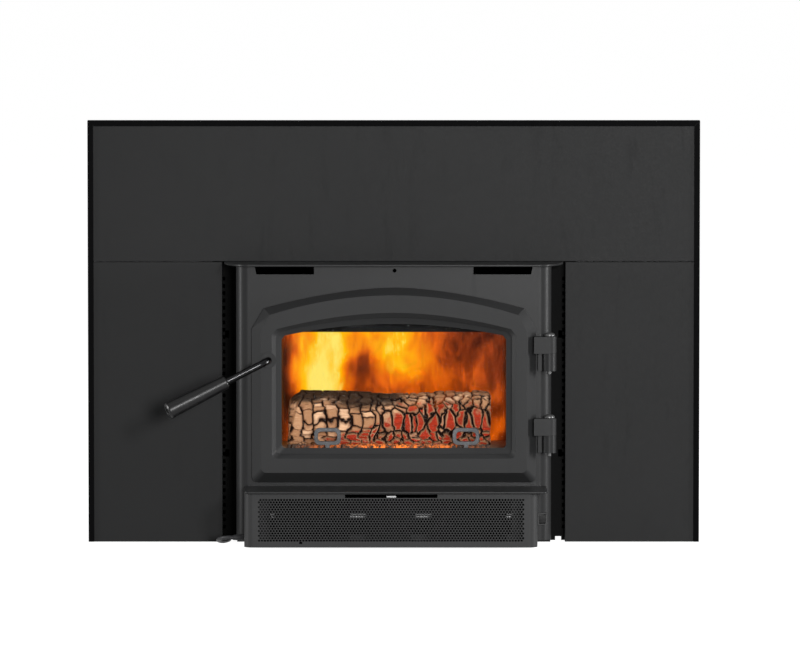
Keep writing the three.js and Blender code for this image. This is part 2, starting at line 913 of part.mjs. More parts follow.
function buildFirebox() {
  const { floorTop, roofBottom, innerHalfWidth } = firebox;
  const wallBottom = floorTop + gap;
  const wallTop = roofBottom - gap;
  const depth = [fireboxFrontY, fireboxBackY];
  const floor = box(-fireboxOuter, fireboxOuter, ...depth, fireboxFloorBottom, floorTop);
  piece("firebox_floor", joined(floor, airInlet()), "darkSteel");
  piece("firebox_left", box(-fireboxOuter, -innerHalfWidth, ...depth, wallBottom, wallTop), "darkSteel");
  piece("firebox_right", box(innerHalfWidth, fireboxOuter, ...depth, wallBottom, wallTop), "darkSteel");
  const backFrontY = firebox.innerDepthY;
  const back = box(-brickOuter, brickOuter, backFrontY, fireboxBackY, wallBottom, wallTop);
  piece("firebox_back", back, "darkSteel");
  const roofTop = roofBottom + firebox.plate;
  const roof = box(-fireboxOuter, fireboxOuter, ...depth, roofBottom, roofTop);
  const flueHole = round("z", 0, flue.centreY, flue.boreRadius, roofBottom - past, roofTop + past, 36);
  piece("firebox_top", cut(roof, flueHole), "darkSteel");

  const footZ = roofTop + gap;
  const foot = round("z", 0, flue.centreY, flue.footRadius, footZ, footZ + flue.footHeight, 36);
  const tube = round("z", 0, flue.centreY, flue.boreRadius + flue.wall, footZ, footZ + flue.height, 36);
  const bore = round("z", 0, flue.centreY, flue.boreRadius, footZ - past, footZ + flue.height + past, 36);
  piece("flue_collar", cut(joined(foot, tube), bore), "darkSteel");
}

function buildLinings() {
  const sideBottom = hearthTop + gap;
  const sideBackY = brickBackFrontY - gap;
  const sideInner = brickOuter - brick.thickness;
  const sideY = [brick.sideFrontY, sideBackY];
  const floorBackY = firebox.innerDepthY - gap;
  const floor = box(-brickOuter, brickOuter, brick.floorFrontY, floorBackY, brickFloorBottom, hearthTop);
  piece("brick_floor", floor, "firebrick");
  piece("brick_left", box(-brickOuter, -sideInner, ...sideY, sideBottom, brick.sideTop), "firebrick");
  piece("brick_right", box(sideInner, brickOuter, ...sideY, sideBottom, brick.sideTop), "firebrick");
  const backTop = baffleBottom - gap;
  const back = box(-brickOuter, brickOuter, brickBackFrontY, floorBackY, sideBottom, backTop);
  piece("brick_back", back, "firebrick");

  const boardTop = baffleBottom + baffle.thickness;
  const board = box(-brickOuter, brickOuter, baffle.frontY, floorBackY, baffleBottom, boardTop);
  piece("baffle_board", board, "fibreBoard");
  for (const [row, y] of Object.entries(airTube.rows)) {
    const outside = round("x", y, airTube.axisZ, airTube.radius, -brickOuter, brickOuter);
    const boreEnds = [-brickOuter - past, brickOuter + past];
    const bore = round("x", y, airTube.axisZ, airTube.radius - airTube.wall, ...boreEnds);
    piece(`air_tube_${row}`, cut(outside, bore), "stainless");
  }

  const ductFrontY = fireboxFrontY;
  const ductBackY = ductFrontY + airWash.depth;
  const ductTop = airWash.bottom + airWash.height;
  const { sheet, lip } = airWash;
  const ductOutline = [
    [ductFrontY, airWash.bottom + lip],
    [ductFrontY + sheet, airWash.bottom + lip],
    [ductFrontY + sheet, ductTop - sheet],
    [ductBackY - sheet, ductTop - sheet],
    [ductBackY - sheet, airWash.bottom + sheet],
    [ductFrontY + lip, airWash.bottom + sheet],
    [ductFrontY + lip, airWash.bottom],
    [ductBackY, airWash.bottom],
    [ductBackY, ductTop],
    [ductFrontY, ductTop],
  ];
  piece("air_wash_duct", prism("x", ductOutline, -brickOuter, brickOuter), "darkSteel");
}

// A rounded loop on a short stem, standing on the floor bricks.
function buildAndiron(name, x) {
  const { planeY, loopWidth, loopHeight, loopTop, bar, cornerRadius, footHeight } = andiron;
  const rounded = (inset) => {
    const half = loopWidth / 2 - inset;
    const z0 = loopTop - loopHeight + inset;
    const z1 = loopTop - inset;
    const radius = cornerRadius - inset / 2;
    return [
      ...arc(x + half - radius, z0 + radius, radius, -90, 0, 3),
      ...arc(x + half - radius, z1 - radius, radius, 0, 90, 3),
      ...arc(x - half + radius, z1 - radius, radius, 90, 180, 3),
      ...arc(x - half + radius, z0 + radius, radius, 180, 270, 3),
    ];
  };
  const loop = prism("y", rounded(0), planeY - bar / 2, planeY + bar / 2, [rounded(bar)]);
  const footBottom = hearthTop + gap;
  const stemHalf = andiron.stemWidth / 2;
  const stemTop = loopTop - loopHeight + bar / 2;
  const stem = box(x - stemHalf, x + stemHalf, planeY - bar / 2, planeY + bar / 2, footBottom, stemTop);
  const footHalf = andiron.footWidth / 2;
  const footY = [planeY - andiron.footDepth / 3, planeY + (andiron.footDepth * 2) / 3];
  const foot = box(x - footHalf, x + footHalf, ...footY, footBottom, footBottom + footHeight);
  piece(name, joined(loop, stem, foot), "darkSteel");
}

function buildFire() {
  buildAndiron("andiron_left", andiron.leftX);
  buildAndiron("andiron_right", andiron.rightX);
  const axisZ = hearthTop + gap + log.radius;
  const ring = (x, radius) =>
    circle(log.centreY, axisZ, radius, 20).map(([y, z]) => new THREE.Vector3(x, y, z));
  const rings = [
    ring(log.leftX, log.endRadius),
    ring(log.leftX + log.endLength, log.radius),
    ring(log.rightX - log.endLength, log.radius),
    ring(log.rightX, log.endRadius),
  ];
  piece("log", skin(rings, (point) => new THREE.Vector2(point.y, point.z)), "bark");
}

// ---------------------------------------------------------------- ledge, fan housing and blower

function buildLedgeAndHousing() {
  const { leftX, rightX, frontY, cornerRadius } = ledge;
  const ledgeOutline = [
    ...arc(leftX + cornerRadius, frontY + cornerRadius, cornerRadius, 180, 270, 4),
    ...arc(rightX - cornerRadius, frontY + cornerRadius, cornerRadius, 270, 360, 4),
    [rightX, bodyJoinY],
    [leftX, bodyJoinY],
  ];
  piece("ash_ledge", prism("z", ledgeOutline, ledgeBottom, ledge.top), "bodyPaint");

  const wrap = (inset) => {
    const radius = housing.edgeRadius - inset;
    const centreY = housing.frontY + housing.edgeRadius;
    const leftCentre = housing.leftX + housing.edgeRadius;
    const rightCentre = housing.rightX - housing.edgeRadius;
    return [
      [housing.leftX + inset, bodyJoinY],
      ...arc(leftCentre, centreY, radius, 180, 270),
      ...arc(rightCentre, centreY, radius, 270, 360),
      [housing.rightX - inset, bodyJoinY],
    ];
  };
  const housingOutline = [...wrap(0), ...wrap(housing.sheet).reverse()];
  const shell = prism("z", housingOutline, housing.bottom, housingTop);
  const frontCutY = [housing.frontY - past, housing.frontY + housing.sheet + past];
  const slot = box(housing.slotLeft, housing.slotRight, ...frontCutY, housing.slotBottom, housing.slotTop);
  const half = housing.notchSize / 2;
  const { notchX, notchZ } = housing;
  const notch = box(notchX - half, notchX + half, ...frontCutY, notchZ - half, notchZ + half);
  piece("fan_housing", cut(shell, slot, notch), "bodyPaint");
}

// A drum of blades between two rims, on a hub disc.
function blowerWheel(x0, x1) {
  const { axisY, axisZ, wheelRadius, wheelBlade, rimWidth, hubWidth, bladeCount } = blower;
  const drum = (radius, from, to, sides = 24) => round("x", axisY, axisZ, radius, from, to, sides);
  const rimInner = wheelRadius - wheelBlade;
  const rim = (from, to) => cut(drum(wheelRadius, from, to), drum(rimInner, from - past, to + past));
  const middle = (x0 + x1) / 2;
  const hub = drum(wheelRadius - wheelBlade / 2, middle - hubWidth / 2, middle + hubWidth / 2);
  const blades = [];
  for (let i = 0; i < bladeCount; i += 1) {
    const angle = (2 * Math.PI * i) / bladeCount;
    const blade = new THREE.BoxGeometry(x1 - x0 - rimWidth, blower.bladeDepth, blower.bladeThickness);
    blade.translate(0, wheelRadius - wheelBlade / 2, 0);
    blade.rotateX(angle).translate(middle, axisY, axisZ);
    blades.push(solidOf(blade));
  }
  const whole = joined(rim(x0, x0 + rimWidth), rim(x1 - rimWidth, x1), hub, ...blades);
  return cut(whole, drum(blower.shaftRadius + gap, x0 - past, x1 + past, 16));
}

// A scroll case, open at both ends for the intake, with a nozzle towards the body.
function blowerScroll(x0, x1) {
  const { axisY, axisZ, scrollSheet, nozzleHeight } = blower;
  const inner = blower.wheelRadius + blower.scrollClearance;
  const outer = inner + scrollSheet;
  const nozzleEndY = bodyJoinY - past;
  const floorZ = axisZ - outer;
  const hull = joined(
    round("x", axisY, axisZ, outer, x0, x1, 28),
    box(x0, x1, axisY, nozzleEndY, floorZ, floorZ + nozzleHeight),
  );
  const hollow = joined(
    round("x", axisY, axisZ, inner, x0 - past, x1 + past, 28),
    box(
      x0 - past,
      x1 + past,
      axisY,
      nozzleEndY + past,
      floorZ + scrollSheet,
      floorZ + nozzleHeight - scrollSheet,
    ),
  );
  const footY = [axisY - blower.footHalfWidth, axisY + blower.footHalfWidth];
  const foot = box(x0, x1, ...footY, baseTop + gap, axisZ - inner);
  return cut(joined(hull, foot), hollow);
}

function buildBlower() {
  const { centreX, axisY, axisZ } = blower;
  const along = (radius, halfLength, sides) =>
    round("x", axisY, axisZ, radius, centreX - halfLength, centreX + halfLength, sides);
  const casing = along(blower.motorRadius, blower.motorHalfLength, 28);
  const bells = along(blower.bellRadius, blower.motorHalfLength + blower.bellLength, 24);
  const footY = [axisY - blower.footHalfWidth, axisY + blower.footHalfWidth];
  const footX = [centreX - blower.motorHalfLength, centreX + blower.motorHalfLength];
  const foot = box(...footX, ...footY, baseTop + gap, axisZ - blower.motorRadius / 2);
  const boreHalf = blower.motorHalfLength + blower.bellLength + past;
  const bore = along(blower.shaftRadius + hinge.pinClearance, boreHalf, 16);
  piece("blower_motor", cut(joined(casing, bells, foot), bore), "galvanised");
  const { scrollInner, scrollOuter } = blower;
  piece("blower_shaft", along(blower.shaftRadius, scrollOuter + blower.shaftEnd, 16), "stainless");
  piece("blower_scroll_left", blowerScroll(centreX - scrollOuter, centreX - scrollInner), "galvanised");
  piece("blower_scroll_right", blowerScroll(centreX + scrollInner, centreX + scrollOuter), "galvanised");
  const wheelInner = scrollInner + blower.wheelInset;
  const wheelOuter = scrollOuter - blower.wheelInset;
  piece("impeller_left", blowerWheel(centreX - wheelOuter, centreX - wheelInner), "galvanised");
  piece("impeller_right", blowerWheel(centreX + wheelInner, centreX + wheelOuter), "galvanised");
}

function buildControls() {
  const half = lever.width / 2;
  const { centreX, tipY, plateFrontY, plateBackY, plateHalfLength } = lever;
  const outline = [
    [centreX - half, tipY],
    [centreX + half, tipY],
    [centreX + half, plateFrontY],
    [centreX + plateHalfLength, plateFrontY],
    [centreX + plateHalfLength, plateBackY],
    [centreX - plateHalfLength, plateBackY],
    [centreX - plateHalfLength, plateFrontY],
    [centreX - half, plateFrontY],
  ];
  piece("air_lever", prism("z", outline, lever.bottom, lever.bottom + lever.thickness), "stainless");

  const { bezelWidth, bezelHeight, bezelFrontY, bezelBackY, bezelWall, keyDepth } = rocker;
  const x = rocker.centreX;
  const z = rocker.centreZ;
  const block = box(
    x - bezelWidth / 2,
    x + bezelWidth / 2,
    bezelFrontY,
    bezelBackY,
    z - bezelHeight / 2,
    z + bezelHeight / 2,
  );
  const pocketHalfX = bezelWidth / 2 - bezelWall;
  const pocketHalfZ = bezelHeight / 2 - bezelWall;
  const pocketBackY = bezelBackY - bezelWall;
  const pocket = box(
    x - pocketHalfX,
    x + pocketHalfX,
    bezelFrontY - past,
    pocketBackY,
    z - pocketHalfZ,
    z + pocketHalfZ,
  );
  const pinX = [x - bezelWidth / 2 + past, x + bezelWidth / 2 - past];
  const pivotY = bezelFrontY + keyDepth;
  const pivot = round("x", pivotY, z, rocker.pivotRadius, ...pinX, 12);
  piece("switch_bezel", joined(cut(block, pocket), pivot), "plastic");

  // The key's face is two shallow planes that meet in a valley, so that one end stands out.
  const keyHalf = pocketHalfZ - rocker.keyClearance;
  const face = (dz, dy) => [pivotY + dy, z + dz];
  const keyOutline = [
    face(-keyHalf, -keyDepth - rocker.raisedEnd),
    face(0, -keyDepth),
    face(keyHalf, -keyDepth - rocker.loweredEnd),
    face(keyHalf - rocker.keyTaper, rocker.keyBack),
    face(-keyHalf + rocker.keyTaper, rocker.keyBack),
  ];
  const keyX = [x - pocketHalfX + gap, x + pocketHalfX - gap];
  const key = prism("x", keyOutline, ...keyX);
  const boreRadius = rocker.pivotRadius + rocker.pivotClearance;
  const keyBore = round("x", pivotY, z, boreRadius, keyX[0] - past, keyX[1] + past, 12);
  piece("switch_rocker", cut(key, keyBore), "plastic");
}

// ---------------------------------------------------------------- door

// How far the ends of the cut-off corners move when the sides of an outline move in by one: the edges
// that meet there run aslant.
const cornerMove = { shoulder: 0.655, shoulderZ: 0.86, sideTop: 0.272 };
const leastCornerRadius = 2;

// The same outline drawn inwards by a distance: each side keeps its direction. A negative one grows it.
function inset(outline, distance) {
  return {
    ...outline,
    half: outline.half - distance,
    bottom: outline.bottom + distance,
    crown: outline.crown - distance,
    shoulder: outline.shoulder - cornerMove.shoulder * distance,
    shoulderZ: outline.shoulderZ - cornerMove.shoulderZ * distance,
    sideTop: outline.sideTop - cornerMove.sideTop * distance,
    radius: Math.max(outline.radius - distance, leastCornerRadius),
  };
}

function archPoints(outline) {
  const { half, bottom, crown, shoulder, shoulderZ, sideTop, archPower, radius } = outline;
  const archSteps = 16;
  const points = [...arc(half - radius, bottom + radius, radius, -90, 0, 4), [half, sideTop]];
  for (let i = 0; i <= archSteps; i += 1) {
    const u = 1 - (2 * i) / archSteps;
    points.push([shoulder * u, crown - (crown - shoulderZ) * Math.abs(u) ** archPower]);
  }
  points.push([-half, sideTop]);
  points.push(...arc(-half + radius, bottom + radius, radius, 180, 270, 4));
  return points.map(([x, z]) => [x + door.centreX, z]);
}

function archRing(outline, y) {
  return archPoints(outline).map(([x, z]) => new THREE.Vector3(x, y, z));
}

function archSkin(...rings) {
  return skin(rings, (point) => new THREE.Vector2(point.x, point.z));
}

function hingeLug(bottom) {
  const top = bottom + hinge.lugHeight;
  const barrel = round("z", hinge.axisX, hinge.axisY, hinge.knuckleRadius, bottom, top);
  const frontY = hinge.axisY - hinge.knuckleRadius;
  const lugX = [hinge.axisX - hinge.lugReach, hinge.axisX];
  return joined(barrel, box(...lugX, frontY, door.backY, bottom, top));
}

function hingePin(name, knuckleTop) {
  const lugTop = knuckleTop + gap + hinge.lugHeight;
  const headBottom = lugTop + gap;
  const tailZ = knuckleTop - hinge.knuckleHeight - hinge.pinTail;
  const { headRadius, headHeight, headRim, pinRadius } = hinge;
  const domeHeight = headHeight - headRim;
  const dome = arc(0, 0, 1, 0, 90, 5).map(([across, up]) => [
    across * headRadius,
    headBottom + headRim + up * domeHeight,
  ]);
  const profile = [
    [0, tailZ],
    [pinRadius, tailZ],
    [pinRadius, headBottom],
    [headRadius, headBottom],
    ...dome.slice(0, -1),
    [0, headBottom + headHeight],
  ];
  piece(name, turned(profile, hinge.axisX, hinge.axisY, 16), "darkSteel");
}

function buildDoor() {
  const slab = archSkin(
    archRing(doorFoot, door.backY),
    archRing(doorFoot, door.bevelFootY),
    archRing(doorFace, door.faceY),
  );
  const slope = (door.stepFrontY - door.faceY) / past;
  const mouth = archSkin(
    archRing(inset(windowFront, -(windowFront.half - windowStep.half) / slope), door.faceY - past),
    archRing(windowStep, door.stepFrontY),
    archRing(windowStep, door.stepBackY),
    archRing(windowLip, door.lipFrontY),
    archRing(windowLip, lipBackY + past),
  );
  const glassOutline = inset(windowLip, -door.glassOverlap);
  const recessOutline = inset(windowLip, -door.glassOverlap - 2 * gap);
  const recess = archSkin(archRing(recessOutline, lipBackY), archRing(recessOutline, door.backY + past));
  const ringOutline = (extra) => [
    inset(doorFoot, door.gasketMargin - extra),
    inset(doorFoot, door.gasketMargin + door.gasketWidth + extra),
  ];
  const band = (outlines, y0, y1) =>
    cut(
      archSkin(archRing(outlines[0], y0), archRing(outlines[0], y1)),
      archSkin(archRing(outlines[1], y0 - past), archRing(outlines[1], y1 + past)),
    );
  const grooveY = door.backY - door.gasketGroove;
  const groove = band(ringOutline(gap), grooveY, door.backY + past);
  const boss = round(
    "y",
    handle.pivotX,
    handle.pivotZ,
    handle.bossRadius,
    door.faceY - handle.bossHeight,
    door.faceY + past,
  );
  const shaftHole = round(
    "y",
    handle.pivotX,
    handle.pivotZ,
    handle.shaftRadius + hinge.pinClearance,
    door.faceY - handle.bossHeight - past,
    door.backY + past,
    16,
  );
  const lugs = Object.values(hinge.levels).map((level) => hingeLug(level + gap));
  const lugBores = Object.values(hinge.levels).map((level) =>
    hingeBore(level, level + hinge.lugHeight + past),
  );
  const frame = cut(joined(slab, boss, ...lugs), mouth, recess, groove, shaftHole, ...lugBores);
  piece("door_frame", frame, "doorPaint");

  const glassFrontY = lipBackY + gap;
  const glassBackY = glassFrontY + door.glassThickness;
  const glass = archSkin(archRing(glassOutline, glassFrontY), archRing(glassOutline, glassBackY));
  piece("door_glass", glass, "glass");
  piece("door_gasket", band(ringOutline(0), grooveY + gap, bodyJoinY), "rope");

  const clipFrontY = Math.max(door.backY, glassBackY) + gap;
  const clipBackY = clipFrontY + retainer.thickness;
  const clip = (x0, x1) => box(x0, x1, clipFrontY, clipBackY, retainer.bottom, retainer.top);
  const clipInner = retainer.outer - retainer.width;
  piece("glass_retainer_left", clip(-retainer.outer, -clipInner), "darkSteel");
  piece("glass_retainer_right", clip(clipInner, retainer.outer), "darkSteel");

  hingePin("hinge_pin_upper", hinge.levels.upper);
  hingePin("hinge_pin_lower", hinge.levels.lower);
}

// ---------------------------------------------------------------- handle

function handlePoint(distance) {
  const elbow = new THREE.Vector3(handle.pivotX, handle.elbowY, handle.pivotZ);
  return elbow.addScaledVector(handle.direction, distance);
}

// A turned profile of [radius, distance along the rod] points, laid along the handle's direction.
function turnedOnHandle(profile, sides) {
  const points = profile.map(([radius, distance]) => new THREE.Vector2(radius, distance));
  const geometry = new THREE.LatheGeometry(points, sides);
  const turn = new THREE.Quaternion().setFromUnitVectors(new THREE.Vector3(0, 1, 0), handle.direction);
  geometry.applyQuaternion(turn);
  geometry.translate(...handlePoint(0).toArray());
  return solidOf(geometry);
}

function buildHandle() {
  const { pivotX, pivotZ, elbowReach, rodRadius, gripStart, gripLength } = handle;
  const bendStart = new THREE.Vector3(pivotX, handle.elbowY + elbowReach, pivotZ);
  const shoulderY = door.faceY - handle.bossHeight - gap;
  const rodStart = new THREE.Vector3(pivotX, bendStart.y + past, pivotZ);
  const path = new THREE.CurvePath();
  path.add(new THREE.LineCurve3(rodStart, bendStart));
  path.add(new THREE.QuadraticBezierCurve3(bendStart, handlePoint(0), handlePoint(elbowReach)));
  path.add(new THREE.LineCurve3(handlePoint(elbowReach), handlePoint(gripStart + handle.rodInGrip)));
  const section = new THREE.Shape(
    circle(0, 0, rodRadius, 14).map(([u, v]) => new THREE.Vector2(u, v)),
  );
  const bent = solidOf(new THREE.ExtrudeGeometry(section, { steps: 24, extrudePath: path }));
  const shaftFrontY = shoulderY - 2 * past;
  const shaft = round("y", pivotX, pivotZ, handle.shaftRadius, shaftFrontY, handle.shaftBackY, 16);
  const behindShoulder = round("y", pivotX, pivotZ, 2 * rodRadius, shoulderY, bendStart.y + 2 * past);
  piece("handle_rod", joined(cut(bent, behindShoulder), shaft), "polished");

  const { gripStartRadius, gripEndRadius, gripChamfer, endHoleRadius, endHoleDepth } = handle;
  const end = gripStart + gripLength;
  const boreRadius = rodRadius + gap;
  const boreEnd = gripStart + handle.rodInGrip + gap;
  const profile = [
    [0, boreEnd],
    [boreRadius, boreEnd],
    [boreRadius, gripStart],
    [gripStartRadius - gripChamfer, gripStart],
    [gripStartRadius, gripStart + gripChamfer],
    [gripEndRadius, end - gripChamfer],
    [gripEndRadius - gripChamfer, end],
    [endHoleRadius, end],
    [endHoleRadius, end - endHoleDepth],
    [0, end - endHoleDepth],
  ];
  piece("handle_grip", turnedOnHandle(profile, 24), "grip");

  const hub = round("y", pivotX, pivotZ, cam.hubRadius, cam.frontY, cam.frontY + cam.thickness);
  const bar = box(
    pivotX - cam.barWidth / 2,
    pivotX + cam.barWidth / 2,
    cam.frontY,
    cam.frontY + cam.thickness,
    pivotZ,
    pivotZ + cam.reach,
  );
  const camBore = round(
    "y",
    pivotX,
    pivotZ,
    handle.shaftRadius + gap,
    cam.frontY - past,
    cam.frontY + cam.thickness + past,
    16,
  );
  piece("latch_cam", cut(joined(hub, bar), camBore), "darkSteel");
}

// ---------------------------------------------------------------- power cord

const coilStartRadius = coil.innerRadius + coil.pitch * coil.turnsPerLayer;
const coilEntryY = coil.centreY - coilStartRadius;
const coilEntryX = coil.centreX + coil.leadIn;
const cordStartX = housing.leftX - gap - relief.length - gap;

// The free stretch, chosen by hand: out of the relief, round to the gap beside the surround, under the
// flange and along the hearth to the coil. The last points follow the coil's place.
const cordRoute = [
  [cordStartX, relief.exitY, relief.exitZ],
  [cordStartX - 7, relief.exitY, relief.exitZ],
  [cordStartX - 17.5, relief.exitY + 5, relief.exitZ - 1.4],
  [cordStartX - 24, relief.exitY + 16, relief.exitZ - 4.2],
  [cordStartX - 26.5, relief.exitY + 28, relief.exitZ - 7],
  [cordStartX - 25, relief.exitY + 44, relief.exitZ - 10.2],
  [cordStartX - 20, relief.exitY + 62, relief.exitZ - 12.8],
  [cordStartX - 14, relief.exitY + 82, cord.restZ + 0.4],
  [cordStartX - 10, relief.exitY + 104, cord.restZ],
  [cordStartX - 9, relief.exitY + 122, cord.restZ],
  [cordStartX - 10.5, relief.exitY + 138, cord.restZ],
  [cordStartX - 18, coilEntryY - 15, cord.restZ],
  [cordStartX - 33, coilEntryY - 4, cord.restZ],
  [cordStartX - 52, coilEntryY - 0.3, cord.restZ],
  [cordStartX - 80, coilEntryY, cord.restZ],
  [coilEntryX + 18, coilEntryY, cord.restZ],
  [coilEntryX + gap, coilEntryY, cord.restZ],
];

// Points of the coil: it spirals in on the lower layer, climbs where it turns, and spirals out again.
function coilPath() {
  const { turnsPerLayer, pitch, innerRadius, stepsPerTurn, climbTurns, reversalTurns } = coil;
  const points = [new THREE.Vector3(coilEntryX, coilEntryY, cord.restZ)];
  const steps = 2 * turnsPerLayer * stepsPerTurn;
  for (let i = 0; i <= steps; i += 1) {
    const turn = i / stepsPerTurn;
    const fromMiddle = turn - turnsPerLayer;
    const eased = Math.hypot(fromMiddle, reversalTurns) - reversalTurns;
    const scale = turnsPerLayer / (Math.hypot(turnsPerLayer, reversalTurns) - reversalTurns);
    const radius = innerRadius + pitch * eased * scale;
    const climb = THREE.MathUtils.smoothstep(fromMiddle, -climbTurns / 2, climbTurns / 2);
    const angle = -Math.PI / 2 - 2 * Math.PI * turn;
    const x = coil.centreX + radius * Math.cos(angle);
    const y = coil.centreY + radius * Math.sin(angle);
    points.push(new THREE.Vector3(x, y, cord.restZ + climb * pitch));
  }
  const end = points[points.length - 1];
  points.push(new THREE.Vector3(end.x - coil.tail, end.y, end.z));
  return points;
}

// A tube of a few sides round a path that stays nearly level.
function levelTube(path, radius, sides) {
  const rings = path.map((point, i) => {
    const before = path[Math.max(i - 1, 0)];
    const after = path[Math.min(i + 1, path.length - 1)];
    const along = new THREE.Vector3().subVectors(after, before).normalize();
    const across = new THREE.Vector3(-along.y, along.x, 0).normalize();
    const up = new THREE.Vector3().crossVectors(along, across);
    return circle(0, 0, radius, sides).map(([u, v]) =>
      point.clone().addScaledVector(across, u).addScaledVector(up, v),
    );
  });
  const first = path[1].clone().sub(path[0]).normalize();
  const side = new THREE.Vector3(-first.y, first.x, 0);
  return skin(rings, (point) => new THREE.Vector2(point.dot(side), point.z));
}

// The least gap between parts of the tube that are half a turn or more apart along it.
function leastSelfGap(path) {
  let least = Infinity;
  const apart = coil.stepsPerTurn / 2;
  for (let i = 0; i < path.length; i += 1) {
    for (let j = i + apart; j < path.length; j += 1) {
      least = Math.min(least, path[i].distanceTo(path[j]));
    }
  }
  return least - 2 * cord.radius;
}

function pathLength(points) {
  return points.slice(1).reduce((sum, point, i) => sum + point.distanceTo(points[i]), 0);
}

function buildCord() {
  const reliefStartX = housing.leftX - gap;
  const reliefProfile = [
    [0, 0],
    [relief.baseRadius, 0],
    [relief.baseRadius, relief.ridge],
    [relief.baseRadius - relief.step, relief.ridge],
    [relief.tipRadius, relief.length],
    [0, relief.length],
  ];
  const points = reliefProfile.map(([radius, distance]) => new THREE.Vector2(radius, distance));
  const cone = new THREE.LatheGeometry(points, 16);
  cone.rotateZ(Math.PI / 2).translate(reliefStartX, relief.exitY, relief.exitZ);
  piece("strain_relief", solidOf(cone), "rubber");

  const route = new THREE.CatmullRomCurve3(cordRoute.map((point) => new THREE.Vector3(...point)));
  const section = new THREE.Shape(
    circle(0, 0, cord.radius, cord.sides).map(([u, v]) => new THREE.Vector2(u, v)),
  );
  const tube = new THREE.ExtrudeGeometry(section, { steps: cord.steps, extrudePath: route });
  piece("power_cord", solidOf(tube), "rubber");

  const wound = coilPath();
  piece("cord_coil", levelTube(wound, cord.radius, coil.sides), "rubber");
  const freeLength = route.getLength();
  const length = (freeLength + pathLength(wound)) / 1000;
  console.log(`cord: ${length.toFixed(3)} m, coil's least gap to itself ${leastSelfGap(wound).toFixed(2)} mm`);

  const end = wound[wound.length - 1];
  const neckX = end.x - gap;
  const bodyX = neckX - plug.neckLength;
  const faceX = bodyX - plug.length;
  const neck = round("x", end.y, end.z, plug.neckRadius, bodyX - past, neckX, 16);
  const z0 = end.z - plug.height / 2;
  const z1 = end.z + plug.height / 2;
  const shellOutline = [
    [faceX, end.y - plug.width / 2],
    [bodyX - plug.shoulder, end.y - plug.width / 2],
    [bodyX, end.y - plug.backWidth / 2],
    [bodyX, end.y + plug.backWidth / 2],
    [bodyX - plug.shoulder, end.y + plug.width / 2],
    [faceX, end.y + plug.width / 2],
  ];
  const shell = prism("z", shellOutline, z0, z1);
  const blades = [-1, 1].map((side) => {
    const y = end.y + (side * plug.bladeSpacing) / 2;
    const half = plug.bladeThickness / 2;
    const z = end.z + plug.bladeLift;
    const high = plug.bladeWidth / 2;
    return box(faceX - plug.bladeLength, faceX + past, y - half, y + half, z - high, z + high);
  });
  const pinX = [faceX - plug.pinLength, faceX + past];
  const earth = round("x", end.y, end.z - plug.pinDrop, plug.pinRadius, ...pinX, 12);
  piece("power_plug", joined(neck, shell, ...blades, earth), "rubber");
}

// ---------------------------------------------------------------- build

buildSurround();
buildFlanges();
buildBody();
buildBaseAndJacket();
buildFirebox();
buildLinings();
buildFire();
buildLedgeAndHousing();
buildBlower();
buildControls();
buildDoor();
buildHandle();
buildCord();

// The part's origin is on the hearth, in the middle of its width and of its depth.
insert.position.y = -(ledge.frontY + jacket.backY) / 2;

export default insert;
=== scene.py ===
"""Looks of a wood-burning fireplace insert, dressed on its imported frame.

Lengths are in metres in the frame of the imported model: +X to the right, +Y into the fireplace and
+Z up. A sub-assembly is a class that holds its sizes and builds and dresses its own pieces.
"""

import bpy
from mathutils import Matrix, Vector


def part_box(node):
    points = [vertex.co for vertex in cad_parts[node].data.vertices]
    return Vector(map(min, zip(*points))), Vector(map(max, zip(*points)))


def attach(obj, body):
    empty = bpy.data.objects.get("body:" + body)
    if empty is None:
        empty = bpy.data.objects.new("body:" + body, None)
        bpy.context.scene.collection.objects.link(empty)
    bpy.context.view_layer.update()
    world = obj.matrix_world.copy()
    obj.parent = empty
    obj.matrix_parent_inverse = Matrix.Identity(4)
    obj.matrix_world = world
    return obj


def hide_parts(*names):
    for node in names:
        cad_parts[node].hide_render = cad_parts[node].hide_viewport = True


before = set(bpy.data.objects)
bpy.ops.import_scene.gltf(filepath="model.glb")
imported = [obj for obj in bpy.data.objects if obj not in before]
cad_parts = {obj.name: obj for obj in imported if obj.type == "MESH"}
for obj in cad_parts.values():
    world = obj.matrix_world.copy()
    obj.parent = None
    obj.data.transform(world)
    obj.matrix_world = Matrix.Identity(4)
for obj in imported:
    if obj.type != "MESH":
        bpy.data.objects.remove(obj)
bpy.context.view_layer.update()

import logging
import math
from dataclasses import dataclass
from enum import Enum
from typing import Callable

import bmesh
import bpy
from mathutils import Matrix, Vector, noise

log = logging.getLogger("insert")

Colour = tuple[float, float, float]
Point = tuple[float, float, float]
Socket = bpy.types.NodeSocket
Piece = bpy.types.Object
Material = bpy.types.Material


class Body(Enum):
    """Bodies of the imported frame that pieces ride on."""

    FIXED = "root"
    DOOR = "door"
    HANDLE = "handle"


# ---------------------------------------------------------------- material graphs


